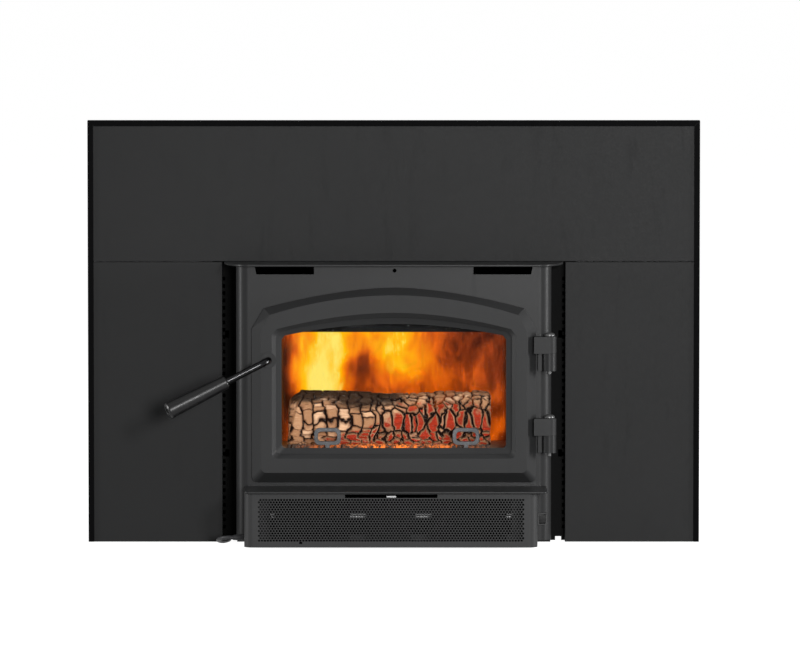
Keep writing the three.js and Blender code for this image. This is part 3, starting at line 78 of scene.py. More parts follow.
class Graph:
    """The nodes of one material, with short calls for the textures that the finishes share."""

    def __init__(self, name: str) -> None:
        """Starts a material with its Principled shader.

        Args:
            name: Name of the material.
        """
        self.material = bpy.data.materials.new(name)
        self.material.use_nodes = True
        self.tree = self.material.node_tree
        self.shader = self.tree.nodes["Principled BSDF"]

    def add(self, kind: str, **settings: object) -> bpy.types.Node:
        """Adds a node.

        Args:
            kind: Node type after "ShaderNode".
            **settings: Properties of the node.

        Returns:
            The new node.
        """
        node = self.tree.nodes.new("ShaderNode" + kind)
        for key, value in settings.items():
            setattr(node, key, value)
        return node

    def feed(self, socket: Socket, value: object) -> None:
        """Links a socket to an input, or writes a plain value on it.

        Args:
            socket: The input.
            value: An output socket, a number, a colour or a vector.
        """
        if isinstance(value, bpy.types.NodeSocket):
            self.tree.links.new(value, socket)
        elif socket.type == "RGBA":
            socket.default_value = (*value, 1.0)
        else:
            socket.default_value = value

    def coat(self, **inputs: object) -> Material:
        """Feeds the Principled shader.

        Args:
            **inputs: Values by the input's name, with _ for a space.

        Returns:
            The material.
        """
        for key, value in inputs.items():
            self.feed(self.shader.inputs[key.replace("_", " ")], value)
        return self.material

    def place(self, scale: Point = (1, 1, 1), at: Point = (0, 0, 0), turn: Point = (0, 0, 0)) -> Socket:
        """Object coordinates, laid out for a pattern.

        Args:
            scale: Factors along the axes.
            at: Shift after the scale.
            turn: Turns in radians.

        Returns:
            The vector.
        """
        mapping = self.add("Mapping")
        self.tree.links.new(self.add("TexCoord").outputs["Object"], mapping.inputs["Vector"])
        mapping.inputs["Scale"].default_value = scale
        mapping.inputs["Location"].default_value = at
        mapping.inputs["Rotation"].default_value = turn
        return mapping.outputs["Vector"]

    def attribute(self, name: str) -> Socket:
        """A number stored on the mesh's points."""
        return self.add("Attribute", attribute_name=name).outputs["Fac"]

    def noise(
        self, at: Socket, scale: float, detail: float = 3, rough: float = 0.55, warp: float = 0,
    ) -> Socket:
        """Cloudy noise.

        Args:
            at: Vector it is read at.
            scale: Waves per metre.
            detail: Octaves.
            rough: Share of the finer octaves.
            warp: Distortion.

        Returns:
            A number about 0.5.
        """
        node = self.add("TexNoise")
        self.feed(node.inputs["Vector"], at)
        for key, value in (("Scale", scale), ("Detail", detail), ("Roughness", rough), ("Distortion", warp)):
            node.inputs[key].default_value = value
        return node.outputs["Fac"]

    def cells(self, at: Socket, scale: float, output: str) -> Socket:
        """Voronoi cells.

        Args:
            at: Vector they are read at.
            scale: Cells per metre.
            output: Distance or Color.

        Returns:
            The chosen output.
        """
        node = self.add("TexVoronoi")
        self.feed(node.inputs["Vector"], at)
        node.inputs["Scale"].default_value = scale
        return node.outputs[output]

    def lobe(self, at: Socket, middle: Point, reach: Point, turn: float = 0) -> Socket:
        """A soft ball of value that fades from its middle to its reach.

        Args:
            at: Vector it is read at.
            middle: Its middle.
            reach: Its half sizes.
            turn: Lean in the plane of the door, in radians.

        Returns:
            A number from 0 to 1.
        """
        mapping = self.add("Mapping", vector_type="TEXTURE")
        self.feed(mapping.inputs["Vector"], at)
        mapping.inputs["Location"].default_value = middle
        mapping.inputs["Rotation"].default_value = (0, turn, 0)
        mapping.inputs["Scale"].default_value = reach
        ball = self.add("TexGradient", gradient_type="SPHERICAL")
        self.feed(ball.inputs["Vector"], mapping.outputs["Vector"])
        return self.spread(ball.outputs["Fac"], 0, 1, 0, 1, smooth=True)

    def inside(self, at: Socket, window: tuple[float, float, float], fade: float = 0.004) -> Socket:
        """1 inside an upright window about the middle plane, 0 a little way outside it.

        Args:
            at: Vector it is read at.
            window: Its half width, middle height and half height.
            fade: How far outside it the value reaches 0.

        Returns:
            A number from 0 to 1.
        """
        half_x, middle_z, half_z = window
        split = self.add("SeparateXYZ")
        self.feed(split.inputs[0], at)
        across = self.maths("ABSOLUTE", split.outputs["X"])
        along = self.maths("ABSOLUTE", self.maths("SUBTRACT", split.outputs["Z"], middle_z))
        return self.maths("MULTIPLY", self.spread(across, half_x, half_x + fade, 1, 0),
                          self.spread(along, half_z, half_z + fade, 1, 0))

    def maths(self, kind: str, a: object, b: object = 0.0, clamp: bool = False) -> Socket:
        """A sum on two numbers.

        Args:
            kind: The operation.
            a: First number.
            b: Second number.
            clamp: Whether the result stays from 0 to 1.

        Returns:
            The result.
        """
        node = self.add("Math", operation=kind, use_clamp=clamp)
        self.feed(node.inputs[0], a)
        self.feed(node.inputs[1], b)
        return node.outputs[0]

    def spread(
        self, value: Socket, a: float, b: float, to_a: float, to_b: float, smooth: bool = False,
    ) -> Socket:
        """Moves a number from one range to another.

        Args:
            value: The number.
            a: Start of its range.
            b: End of its range.
            to_a: Start of the new range.
            to_b: End of the new range.
            smooth: Whether it eases in and out.

        Returns:
            The new number, kept inside its range.
        """
        node = self.add("MapRange", interpolation_type="SMOOTHSTEP" if smooth else "LINEAR")
        self.feed(node.inputs[0], value)
        for index, number in enumerate((a, b, to_a, to_b)):
            node.inputs[index + 1].default_value = number
        return node.outputs[0]

    def mix(self, share: object, a: object, b: object, blend: str = "MIX") -> Socket:
        """Mixes two colours.

        Args:
            share: Share of the second colour.
            a: First colour.
            b: Second colour.
            blend: Blend mode.

        Returns:
            The colour.
        """
        node = self.add("Mix", data_type="RGBA", blend_type=blend)
        self.feed(node.inputs[0], share)
        self.feed(node.inputs[6], a)
        self.feed(node.inputs[7], b)
        return node.outputs[2]

    def ramp(self, value: Socket, stops: list[tuple[float, Colour]]) -> Socket:
        """Colours a number.

        Args:
            value: The number.
            stops: Places from 0 to 1 and their colours.

        Returns:
            The colour.
        """
        node = self.add("ValToRGB")
        band = node.color_ramp.elements
        while len(band) < len(stops):
            band.new(1.0)
        for element, (place, colour) in zip(band, stops):
            element.position = place
            element.color = (*colour, 1.0)
        self.feed(node.inputs[0], value)
        return node.outputs["Color"]

    def bump(
        self, height: Socket, depth: float, strength: float = 1.0, under: Socket | None = None,
    ) -> Socket:
        """Relief of the surface.

        Args:
            height: A number from 0 to 1.
            depth: Depth of the relief in metres.
            strength: Share of it that shows.
            under: Relief that it lies on.

        Returns:
            The normal.
        """
        node = self.add("Bump")
        node.inputs["Strength"].default_value = strength
        node.inputs["Distance"].default_value = depth
        self.feed(node.inputs["Height"], height)
        if under is not None:
            self.feed(node.inputs["Normal"], under)
        return node.outputs["Normal"]


def shade(colour: Colour, factor: float) -> Colour:
    """A colour made darker or lighter.

    Args:
        colour: The colour.
        factor: What each channel is multiplied by.

    Returns:
        The new colour.
    """
    return tuple(min(channel * factor, 1.0) for channel in colour)


# ---------------------------------------------------------------- finishes


@dataclass(frozen=True)
class StovePaint:
    """Sprayed heat-proof paint with a fine dry grain and faint clouds; inside a window, if one is given, soot
    and painted shade make it near black and less glossy.
    """

    name: str
    colour: Colour
    roughness: float = 0.42
    grain_depth: float = 0.00004
    grain_scale: float = 900
    sand_depth: float = 0.0
    specular: float = 0.05
    # Window, colour and gloss of the near-black patch: soot and painted shade behind the door glass.
    sooty_and_shaded: tuple[float, float, float] | None = None
    soot_and_shade: Colour = (0.0012, 0.0011, 0.001)
    soot_and_shade_specular: float = 0.01

    def make(self) -> Material:
        """Builds the material."""
        graph = Graph(self.name)
        at = graph.place()
        clouds = graph.noise(at, 5, 4, 0.5)
        specks = graph.noise(at, 420, 2, 0.6)
        tone = graph.mix(clouds, shade(self.colour, 0.86), shade(self.colour, 1.14))
        dust_and_shade = graph.spread(specks, 0.62, 0.78, 0, 0.16)
        scuffs = graph.noise(graph.place(scale=(60, 60, 9)), 1, 5, 0.7, 0.4)
        dry = graph.maths("ADD", graph.spread(specks, 0.3, 0.7, self.roughness - 0.05, self.roughness + 0.05),
                          graph.spread(scuffs, 0.56, 0.74, 0, 0.07))
        relief = graph.bump(graph.noise(at, self.grain_scale, 3, 0.6), self.grain_depth)
        if self.sand_depth:
            relief = graph.bump(graph.noise(at, 260, 4, 0.62), self.sand_depth, under=relief)
        tone = graph.mix(dust_and_shade, tone, shade(self.colour, 2.2))
        gloss = self.specular
        # Painted shade with soot: inside the window the paint turns near black and loses its gloss, standing
        # for the shade behind the door glass.
        if self.sooty_and_shaded:
            soot_and_shade = graph.inside(at, self.sooty_and_shaded)
            tone = graph.mix(soot_and_shade, tone, self.soot_and_shade)
            gloss = graph.spread(soot_and_shade, 0, 1, self.specular, self.soot_and_shade_specular)
        return graph.coat(
            Base_Color=tone,
            Roughness=dry,
            Specular_IOR_Level=gloss,
            Normal=relief,
        )


@dataclass(frozen=True)
class Galvanised:
    """Zinc-coated sheet with spangle and dull streaks, with painted shade on faces towards the middle: near
    black, matt and without gloss.
    """

    name: str
    colour: Colour
    middle_y: float = 0.1
    # Darkness of the painted shade on the faces that point inwards.
    dust_and_shade: float = 0.006

    def make(self) -> Material:
        """Builds the material."""
        graph = Graph(self.name)
        at = graph.place(scale=(1, 1, 0.8))
        spangle = graph.cells(at, 85, "Color")
        streaks = graph.noise(graph.place(scale=(30, 30, 3)), 1, 4, 0.6)
        tone = graph.mix(graph.spread(streaks, 0.4, 0.7, 0, 1), self.colour, shade(self.colour, 0.7))
        sparkle = graph.mix(0.22, tone, spangle, "OVERLAY")
        level = graph.add("RGBToBW")
        graph.feed(level.inputs[0], sparkle)
        grey = graph.ramp(level.outputs[0], [(0.0, shade(self.colour, 0.55)), (1.0, shade(self.colour, 1.5))])
        facet = graph.cells(at, 85, "Distance")
        # Painted shade: faces that point towards the middle, inside the jacket, turn near black, matt and
        # without gloss.
        face = graph.add("NewGeometry")
        outward = graph.add("VectorMath", operation="DOT_PRODUCT")
        graph.feed(outward.inputs[0], face.outputs["Normal"])
        graph.feed(outward.inputs[1], graph.place(scale=(1, 1, 0), at=(0, -self.middle_y, 0)))
        inner_face_shade = graph.spread(outward.outputs["Value"], -0.02, 0.0, 1, 0)
        return graph.coat(
            Base_Color=graph.mix(inner_face_shade, grey, shade(self.colour, self.dust_and_shade)),
            Metallic=graph.spread(inner_face_shade, 0, 1, 0.9, 0),
            Roughness=graph.maths("MAXIMUM", inner_face_shade, graph.spread(facet, 0, 0.8, 0.36, 0.52)),
            Specular_IOR_Level=graph.spread(inner_face_shade, 0, 1, 0.5, 0.02),
            Normal=graph.bump(facet, 0.00005, 0.5),
        )


@dataclass(frozen=True)
class FireSteel:
    """Plate that has been hot: clouds of grey-brown scale with rust freckles."""

    name: str
    colour: Colour
    rust: Colour = (0.16, 0.06, 0.025)
    metallic: float = 0.35

    def make(self) -> Material:
        """Builds the material."""
        graph = Graph(self.name)
        at = graph.place()
        scale = graph.noise(at, 28, 6, 0.65, 0.6)
        freckles = graph.noise(at, 210, 4, 0.7)
        tone = graph.mix(scale, shade(self.colour, 0.6), shade(self.colour, 1.6))
        rusty = graph.mix(graph.spread(freckles, 0.58, 0.72, 0, 0.75), tone, self.rust)
        return graph.coat(
            Base_Color=rusty,
            Metallic=self.metallic,
            Roughness=graph.spread(scale, 0.3, 0.7, 0.5, 0.8),
            Normal=graph.bump(graph.noise(at, 160, 6, 0.7), 0.00025, 0.8),
        )


@dataclass(frozen=True)
class Firebrick:
    """Pressed refractory clay: buff and pitted, with soot clouds and a warm singe."""

    name: str
    colour: Colour
    soot_and_shade: float = 0.6

    def make(self) -> Material:
        """Builds the material."""
        graph = Graph(self.name)
        at = graph.place()
        pits = graph.cells(at, 330, "Distance")
        grit = graph.noise(at, 380, 5, 0.7)
        clouds = graph.noise(at, 9, 5, 0.6, 0.8)
        clay = graph.mix(grit, shade(self.colour, 0.78), shade(self.colour, 1.18))
        singed = graph.mix(graph.spread(clouds, 0.35, 0.6, 0, 0.5), clay, (0.30, 0.15, 0.07))
        sooty_and_shaded = graph.mix(graph.spread(clouds, 0.45, 0.72, 0, self.soot_and_shade), singed, (0.02, 0.016, 0.013))
        pit = graph.spread(pits, 0.05, 0.3, 0, 1)
        relief = graph.bump(pit, 0.0006, 0.7)
        return graph.coat(
            Base_Color=graph.mix(graph.spread(pits, 0.02, 0.14, 0.5, 0), sooty_and_shaded, (0.08, 0.05, 0.03)),
            Roughness=graph.spread(grit, 0.3, 0.7, 0.86, 0.98),
            Normal=graph.bump(grit, 0.0003, 0.8, relief),
        )


@dataclass(frozen=True)
class TemperedSteel:
    """Bare stainless steel that heat has coloured from straw to blue."""

    name: str
    colour: Colour

    def make(self) -> Material:
        """Builds the material."""
        graph = Graph(self.name)
        bands = graph.noise(graph.place(scale=(7, 20, 20)), 1, 4, 0.6, 0.5)
        lines = graph.noise(graph.place(scale=(900, 90, 900)), 1, 2, 0.5)
        tint = graph.ramp(bands, [
            (0.3, self.colour), (0.45, (0.36, 0.24, 0.11)), (0.55, (0.22, 0.13, 0.2)),
            (0.66, (0.1, 0.13, 0.24)), (0.8, shade(self.colour, 0.6)),
        ])
        return graph.coat(
            Base_Color=graph.mix(graph.spread(lines, 0.3, 0.7, 0, 0.35), tint, shade(self.colour, 0.5)),
            Metallic=1.0,
            Roughness=graph.spread(lines, 0.3, 0.7, 0.25, 0.45),
            Normal=graph.bump(lines, 0.00003, 0.4),
        )


@dataclass(frozen=True)
class PolishedBar:
    """Round bar with fine turning lines, darkened and oiled."""

    name: str
    colour: Colour
    roughness: float = 0.16

    def make(self) -> Material:
        """Builds the material."""
        graph = Graph(self.name)
        stain = graph.noise(graph.place(), 60, 4, 0.6)
        hair = graph.noise(graph.place(scale=(300, 300, 1500)), 1, 2, 0.5)
        tone = graph.mix(graph.spread(stain, 0.4, 0.7, 0, 0.6), self.colour, shade(self.colour, 0.55))
        return graph.coat(
            Base_Color=tone,
            Metallic=1.0,
            Roughness=graph.spread(stain, 0.3, 0.7, self.roughness - 0.04, self.roughness + 0.08),
            Normal=graph.bump(hair, 0.00001, 0.5),
        )


@dataclass(frozen=True)
class Moulded:
    """Moulded plastic or rubber with a fine stipple and a few rub marks."""

    name: str
    colour: Colour
    roughness: float
    stipple: float = 0.00004
    specular: float = 0.25

    def make(self) -> Material:
        """Builds the material."""
        graph = Graph(self.name)
        at = graph.place()
        rub = graph.noise(at, 90, 4, 0.65, 0.3)
        return graph.coat(
            Base_Color=graph.mix(graph.spread(rub, 0.5, 0.75, 0, 0.5), self.colour, shade(self.colour, 1.7)),
            Roughness=graph.spread(rub, 0.3, 0.7, self.roughness - 0.05, self.roughness + 0.08),
            Specular_IOR_Level=self.specular,
            Normal=graph.bump(graph.noise(at, 1500, 2, 0.5), self.stipple, 0.7),
        )


@dataclass(frozen=True)
class CeramicGlass:
    """Clear ceramic glass: it mirrors a little face on and more at a slant, with patches of faint haze."""

    name: str = "ceramic_glass"
    facing: float = 0.001
    slanted: float = 0.35
    haze: float = 0.004

    def make(self) -> Material:
        """Builds the material."""
        graph = Graph(self.name)
        slant = graph.add("LayerWeight")
        slant.inputs["Blend"].default_value = 0.35
        haze = graph.spread(graph.noise(graph.place(), 16, 5, 0.7, 0.5), 0.5, 0.8, 0, self.haze)
        mirror = graph.spread(slant.outputs["Facing"], 0.15, 1, self.facing, self.slanted)
        graph.material.surface_render_method = "BLENDED"
        return graph.coat(
            Base_Color=(0.82, 0.87, 0.86),
            Metallic=1.0,
            Roughness=graph.spread(haze, 0, self.haze, 0.015, 0.06),
            Alpha=graph.maths("ADD", mirror, haze),
        )


@dataclass(frozen=True)
class BraidedRope:
    """Glass-fibre door rope: grey yarns that cross over each other."""

    name: str = "door_rope"

    def make(self) -> Material:
        """Builds the material."""
        graph = Graph(self.name)
        yarns = []
        for turn in (0.8, -0.8):
            wave = graph.add("TexWave", wave_type="BANDS", bands_direction="X")
            graph.feed(wave.inputs["Vector"], graph.place(turn=(0, turn, 0)))
            wave.inputs["Scale"].default_value = 190
            wave.inputs["Distortion"].default_value = 1.2
            yarns.append(wave.outputs["Fac"])
        weave = graph.maths("MAXIMUM", yarns[0], yarns[1])
        return graph.coat(
            Base_Color=graph.ramp(weave, [(0.2, (0.03, 0.03, 0.029)), (0.8, (0.2, 0.2, 0.19))]),
            Roughness=0.95,
            Normal=graph.bump(weave, 0.0006, 0.9),
        )


@dataclass(frozen=True)
class BurningWood:
    """Split wood with block cracks: pale ash to the left, red heat to the right and below, and painted shade
    towards the block edges.
    """

    name: str = "burning_wood"
    firelight: float = 0.22

    def make(self) -> Material:
        """Builds the material, which reads the crack and the block number that the mesh holds."""
        graph = Graph(self.name)
        at = graph.place()
        crack, block = graph.attribute("crack"), graph.attribute("block")
        grain = graph.noise(graph.place(scale=(60, 60, 700)), 1, 4, 0.65)
        ash_and_edge_shade = graph.ramp(block, [
            (0.0, (0.30, 0.165, 0.085)), (0.3, (0.50, 0.31, 0.18)),
            (0.7, (0.62, 0.42, 0.27)), (1.0, (0.36, 0.21, 0.12)),
        ])
        ash_and_edge_shade = graph.mix(graph.spread(grain, 0.35, 0.7, 0, 0.6), ash_and_edge_shade, (0.22, 0.11, 0.06))
        # Painted shade: the ash darkens towards the cracks, so that each block looks rounded.
        ash_and_edge_shade = graph.mix(graph.spread(crack, 0.2, 0.85, 0.75, 0, smooth=True), ash_and_edge_shade, (0.12, 0.055, 0.03))
        low = graph.lobe(at, (0.025, -0.114, 0.180), (0.24, 0.09, 0.036))
        right = graph.lobe(at, (0.085, -0.114, 0.208), (0.15, 0.09, 0.070))
        patches = graph.noise(at, 45, 3, 0.6)
        heat = graph.maths("ADD", graph.maths("MULTIPLY", low, 1.5), graph.maths("MULTIPLY", right, 1.6))
        heat = graph.maths("ADD", heat, graph.spread(patches, 0.3, 0.7, -0.35, 0.25))
        heart = graph.spread(crack, 0.44, 0.62, 0, 1, smooth=True)
        glow = graph.maths("MULTIPLY", graph.spread(heat, 0.40, 0.66, 0, 1, smooth=True), heart, clamp=True)
        char = graph.maths("MAXIMUM", graph.lobe(at, (-0.055, -0.09, 0.262), (0.11, 0.08, 0.046)),
                           graph.lobe(at, (-0.150, -0.085, 0.265), (0.08, 0.07, 0.036)))
        ragged = graph.spread(patches, 0.3, 0.7, -0.12, 0.12)
        scorch = graph.spread(graph.maths("ADD", char, ragged), 0.12, 0.42, 0, 0.93)
        wood = graph.mix(scorch, ash_and_edge_shade, (0.014, 0.008, 0.005))
        fibres = graph.spread(grain, 0.3, 0.7, 0, 1)
        wood = graph.mix(glow, wood, graph.mix(fibres, (0.24, 0.020, 0.008), (0.07, 0.012, 0.006)))
        seam = graph.spread(crack, 0.14, 0.36, 1, 0, smooth=True)
        wood = graph.mix(seam, wood, (0.006, 0.002, 0.001))
        coals = graph.maths("MULTIPLY", graph.lobe(at, (-0.005, -0.12, 0.163), (0.22, 0.06, 0.012)),
                            graph.spread(graph.noise(at, 110, 3, 0.7), 0.42, 0.6, 0, 1))
        lit = graph.mix(1.0, wood, shade((1.0, 0.62, 0.34), self.firelight), "MULTIPLY")
        warm = graph.maths("MULTIPLY", glow, graph.spread(grain, 0.3, 0.7, 0.9, 0.2))
        light = graph.mix(coals, graph.mix(warm, lit, (0.24, 0.013, 0.003)), (1.7, 0.34, 0.012))
        return graph.coat(
            Base_Color=wood,
            Roughness=0.95,
            Specular_IOR_Level=0.1,
            Emission_Color=light,
            Emission_Strength=1.0,
            Normal=graph.bump(grain, 0.0006, 0.9),
        )


@dataclass(frozen=True)
class Coals:
    """Small coals, ash grey on top with orange heat between them."""

    name: str = "coals"

    def make(self) -> Material:
        """Builds the material."""
        graph = Graph(self.name)
        at = graph.place()
        patches = graph.noise(at, 70, 4, 0.7)
        hot = graph.maths("MULTIPLY", graph.spread(patches, 0.42, 0.62, 0, 1, smooth=True),
                          graph.lobe(at, (-0.005, -0.14, 0.166), (0.2, 0.07, 0.016)))
        return graph.coat(
            Base_Color=graph.mix(patches, (0.01, 0.006, 0.005), (0.07, 0.045, 0.03)),
            Roughness=0.95,
            Emission_Color=graph.mix(hot, (0, 0, 0), (1.8, 0.36, 0.012)),
            Emission_Strength=1.0,
            Normal=graph.bump(graph.noise(at, 600, 4, 0.7), 0.0004, 0.9),
        )


@dataclass(frozen=True)
class Flame:
    """Burning gas: hot columns at the left, orange in the middle and smoky red to the right."""

    name: str
    shift: float = 0.0
    strength: float = 1.0
    veil: float = 0.0

    # Middle, reach and lean of each patch of gas, and the heat that it adds.
    LOBES = (
        ((-0.128, 0, 0.300), (0.085, 1, 0.190), -0.03, 0.42),
        ((-0.128, 0, 0.262), (0.046, 1, 0.130), 0.04, 0.26),
        ((0.000, 0, 0.325), (0.075, 1, 0.110), 0.12, 0.26),
        ((-0.055, 0, 0.372), (0.120, 1, 0.070), 0.0, 0.20),
        ((0.062, 0, 0.325), (0.070, 1, 0.120), -0.1, 0.10),
        ((-0.062, 0, 0.268), (0.052, 1, 0.062), 0.3, -0.26),
        ((0.186, 0, 0.185), (0.030, 1, 0.070), 0.3, 0.30),
        ((0.150, 0, 0.365), (0.070, 1, 0.060), 0.2, -0.14),
        ((-0.200, 0, 0.270), (0.030, 1, 0.200), 0.0, -0.40),
        ((0.215, 0, 0.290), (0.060, 1, 0.200), 0.0, -0.20),
    )

    def make(self) -> Material:
        """Builds the material."""
        graph = Graph(self.name)
        drift = graph.add("TexNoise")
        graph.feed(drift.inputs["Vector"], graph.place(scale=(11, 11, 8), at=(self.shift, 0, self.shift)))
        drift.inputs["Scale"].default_value = 1.0
        drift.inputs["Detail"].default_value = 2.5
        centred = graph.add("VectorMath", operation="SUBTRACT")
        graph.feed(centred.inputs[0], drift.outputs["Color"])
        centred.inputs[1].default_value = (0.5, 0.5, 0.5)
        swing = graph.add("VectorMath", operation="MULTIPLY_ADD")
        graph.feed(swing.inputs[0], centred.outputs[0])
        swing.inputs[1].default_value = (0.075, 0, 0.11)
        graph.feed(swing.inputs[2], graph.place(scale=(1, 0, 1)))
        at = swing.outputs[0]
        split = graph.add("SeparateXYZ")
        graph.feed(split.inputs[0], at)
        heat = graph.spread(split.outputs["X"], 0.02, 0.14, 0.50, 0.34, smooth=True)
        for middle, reach, turn, weight in self.LOBES:
            part = graph.maths("MULTIPLY", graph.lobe(at, middle, reach, turn), weight)
            heat = graph.maths("ADD", heat, part)
        leaning = graph.place(scale=(22, 22, 10), at=(self.shift * 3, 0, 0), turn=(0, 0.3, 0))
        wisps = graph.noise(leaning, 1, 3, 0.45, 1.6)
        folds = graph.noise(graph.place(scale=(13, 13, 10), at=(0, 0, self.shift)), 1, 3, 0.5, 1.0)
        heat = graph.maths("ADD", heat, graph.spread(wisps, 0.3, 0.7, -0.10, 0.10))
        heat = graph.maths("ADD", heat, graph.spread(folds, 0.3, 0.7, -0.12, 0.12))
        for lean, fineness in ((0.35, 60), (-0.4, 85)):
            strands = graph.place(scale=(fineness, fineness, 7), at=(lean, 0, self.shift), turn=(0, lean, 0))
            hair = graph.noise(strands, 1, 3, 0.5, 1.6)
            ridge = graph.maths("ABSOLUTE", graph.maths("SUBTRACT", hair, 0.5))
            heat = graph.maths("ADD", heat, graph.spread(ridge, 0, 0.016, 0.09, 0, smooth=True))
        light = graph.ramp(heat, [
            (0.0, (0.012, 0.003, 0.001)), (0.2, (0.06, 0.009, 0.002)), (0.38, (0.26, 0.034, 0.003)),
            (0.54, (0.72, 0.110, 0.002)), (0.70, (1.0, 0.29, 0.001)), (0.84, (1.0, 0.53, 0.002)),
            (1.0, (1.0, 0.78, 0.14)),
        ])
        cover = graph.attribute("cover")
        if self.veil:
            cover = graph.maths("MULTIPLY", cover, graph.spread(wisps, 0.46, 0.66, 0, self.veil, smooth=True))
        graph.material.surface_render_method = "BLENDED"
        return graph.coat(
            Base_Color=(0, 0, 0),
            Roughness=1.0,
            Specular_IOR_Level=0.0,
            Emission_Color=light,
            Emission_Strength=self.strength,
            Alpha=cover,
        )


@dataclass(frozen=True)
class StudioFloor:
    """Pale floor that shows white to the camera, to gloss and to glass, and keeps the shadow."""

    name: str = "studio_floor"
    albedo: float = 0.34
    lift: float = 0.97

    def make(self) -> Material:
        """Builds the material."""
        graph = Graph(self.name)
        path = graph.add("LightPath")
        seen = graph.maths("MAXIMUM", path.outputs["Is Camera Ray"], path.outputs["Is Glossy Ray"])
        seen = graph.maths("MAXIMUM", seen, path.outputs["Is Transmission Ray"])
        wear = graph.noise(graph.place(), 3, 3, 0.5)
        return graph.coat(
            Base_Color=(self.albedo,) * 3,
            Roughness=graph.spread(wear, 0.3, 0.7, 0.9, 0.96),
            Specular_IOR_Level=0.0,
            Emission_Color=(1, 1, 1),
            Emission_Strength=graph.maths("MULTIPLY", seen, self.lift),
        )


# ---------------------------------------------------------------- meshes


def settle(piece: Piece, body: Body, slot: str, *nodes: str) -> Piece:
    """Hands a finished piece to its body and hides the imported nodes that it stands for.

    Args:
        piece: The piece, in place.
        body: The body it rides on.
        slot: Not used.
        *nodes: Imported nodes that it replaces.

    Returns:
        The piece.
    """
    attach(piece, body.value)
    if nodes:
        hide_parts(*nodes)
    log.info("%s: %d faces", piece.name, len(piece.data.polygons) if piece.type == "MESH" else 0)
    return piece


def shown(name: str, mesh: bpy.types.Mesh, material: Material) -> Piece:
    """Puts a mesh in the scene under one material.

    Args:
        name: Name of the piece.
        mesh: Its mesh.
        material: Its material.

    Returns:
        The piece.
    """
    mesh.materials.clear()
    mesh.materials.append(material)
    piece = bpy.data.objects.new(name, mesh)
    bpy.context.scene.collection.objects.link(piece)
    return piece


def baked(piece: Piece) -> Piece:
    """Turns the piece and its modifiers into one plain mesh.

    Args:
        piece: A mesh object with modifiers.

    Returns:
        The same object, without modifiers.
    """
    bpy.context.view_layer.update()
    graph = bpy.context.evaluated_depsgraph_get()
    final = piece.evaluated_get(graph)
    mesh = bpy.data.meshes.new_from_object(final, preserve_all_data_layers=True, depsgraph=graph)
    piece.modifiers.clear()
    piece.data = mesh
    return piece


def rounded(piece: Piece, width: float, segments: int = 2, angle: float = 35) -> Piece:
    """Breaks the sharp edges of a piece and keeps its flat faces flat.

    Args:
        piece: The piece.
        width: Width of the broken edge.
        segments: Faces across it.
        angle: Least angle of an edge that is broken, in degrees.

    Returns:
        The piece.
    """
    bevel = piece.modifiers.new("edges", "BEVEL")
    bevel.width, bevel.segments = width, segments
    bevel.limit_method, bevel.angle_limit = "ANGLE", math.radians(angle)
    for polygon in piece.data.polygons:
        polygon.use_smooth = True
    flat = piece.modifiers.new("flats", "WEIGHTED_NORMAL")
    flat.keep_sharp, flat.weight = True, 80
    return baked(piece)


def copied(node: str) -> bpy.types.Mesh:
    """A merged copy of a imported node's mesh, with its flat faces joined.

    Args:
        node: Name of the node.

    Returns:
        The mesh.
    """
    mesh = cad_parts[node].data.copy()
    edit = bmesh.new()
    edit.from_mesh(mesh)
    bmesh.ops.remove_doubles(edit, verts=edit.verts, dist=2e-6)
    bmesh.ops.dissolve_limit(edit, angle_limit=math.radians(0.6), verts=edit.verts, edges=edit.edges)
    for loop_layer in list(edit.loops.layers.uv.values()):
        edit.loops.layers.uv.remove(loop_layer)
    edit.to_mesh(mesh)
    edit.free()
    if mesh.has_custom_normals:
        mesh.normals_split_custom_set([(0, 0, 0)] * len(mesh.loops))
    return mesh


def finished(node: str, slot: str, material: Material, width: float = 0.0007, body: Body = Body.FIXED,
             change: Callable[[Piece], None] | None = None) -> Piece:
    """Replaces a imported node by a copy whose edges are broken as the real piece's are.

    Args:
        node: Name of the node.
        slot: The record's material slot.
        material: Its material.
        width: Width of the broken edge.
        body: The body it rides on.
        change: Work on the copy before its edges are broken.

    Returns:
        The piece.
    """
    piece = shown(f"{node}_finished", copied(node), material)
    if change is not None:
        change(piece)
    return settle(rounded(piece, width), body, slot, node)


def dressed(material: Material, *nodes: str) -> None:
    """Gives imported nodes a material.

    Args:
        material: The material.
        *nodes: Names of the nodes.
    """
    for node in nodes:
        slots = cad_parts[node].data.materials
        slots.clear()
        slots.append(material)
        log.info("%s: dressed in %s", node, material.name)


def from_bmesh(name: str, edit: bmesh.types.BMesh, material: Material) -> Piece:
    """Makes a smooth-shaded piece of an edited mesh and frees it.

    Args:
        name: Name of the piece.
        edit: The mesh.
        material: Its material.

    Returns:
        The piece.
    """
    mesh = bpy.data.meshes.new(name)
    for face in edit.faces:
        face.smooth = True
    edit.to_mesh(mesh)
    edit.free()
    return shown(name, mesh, material)


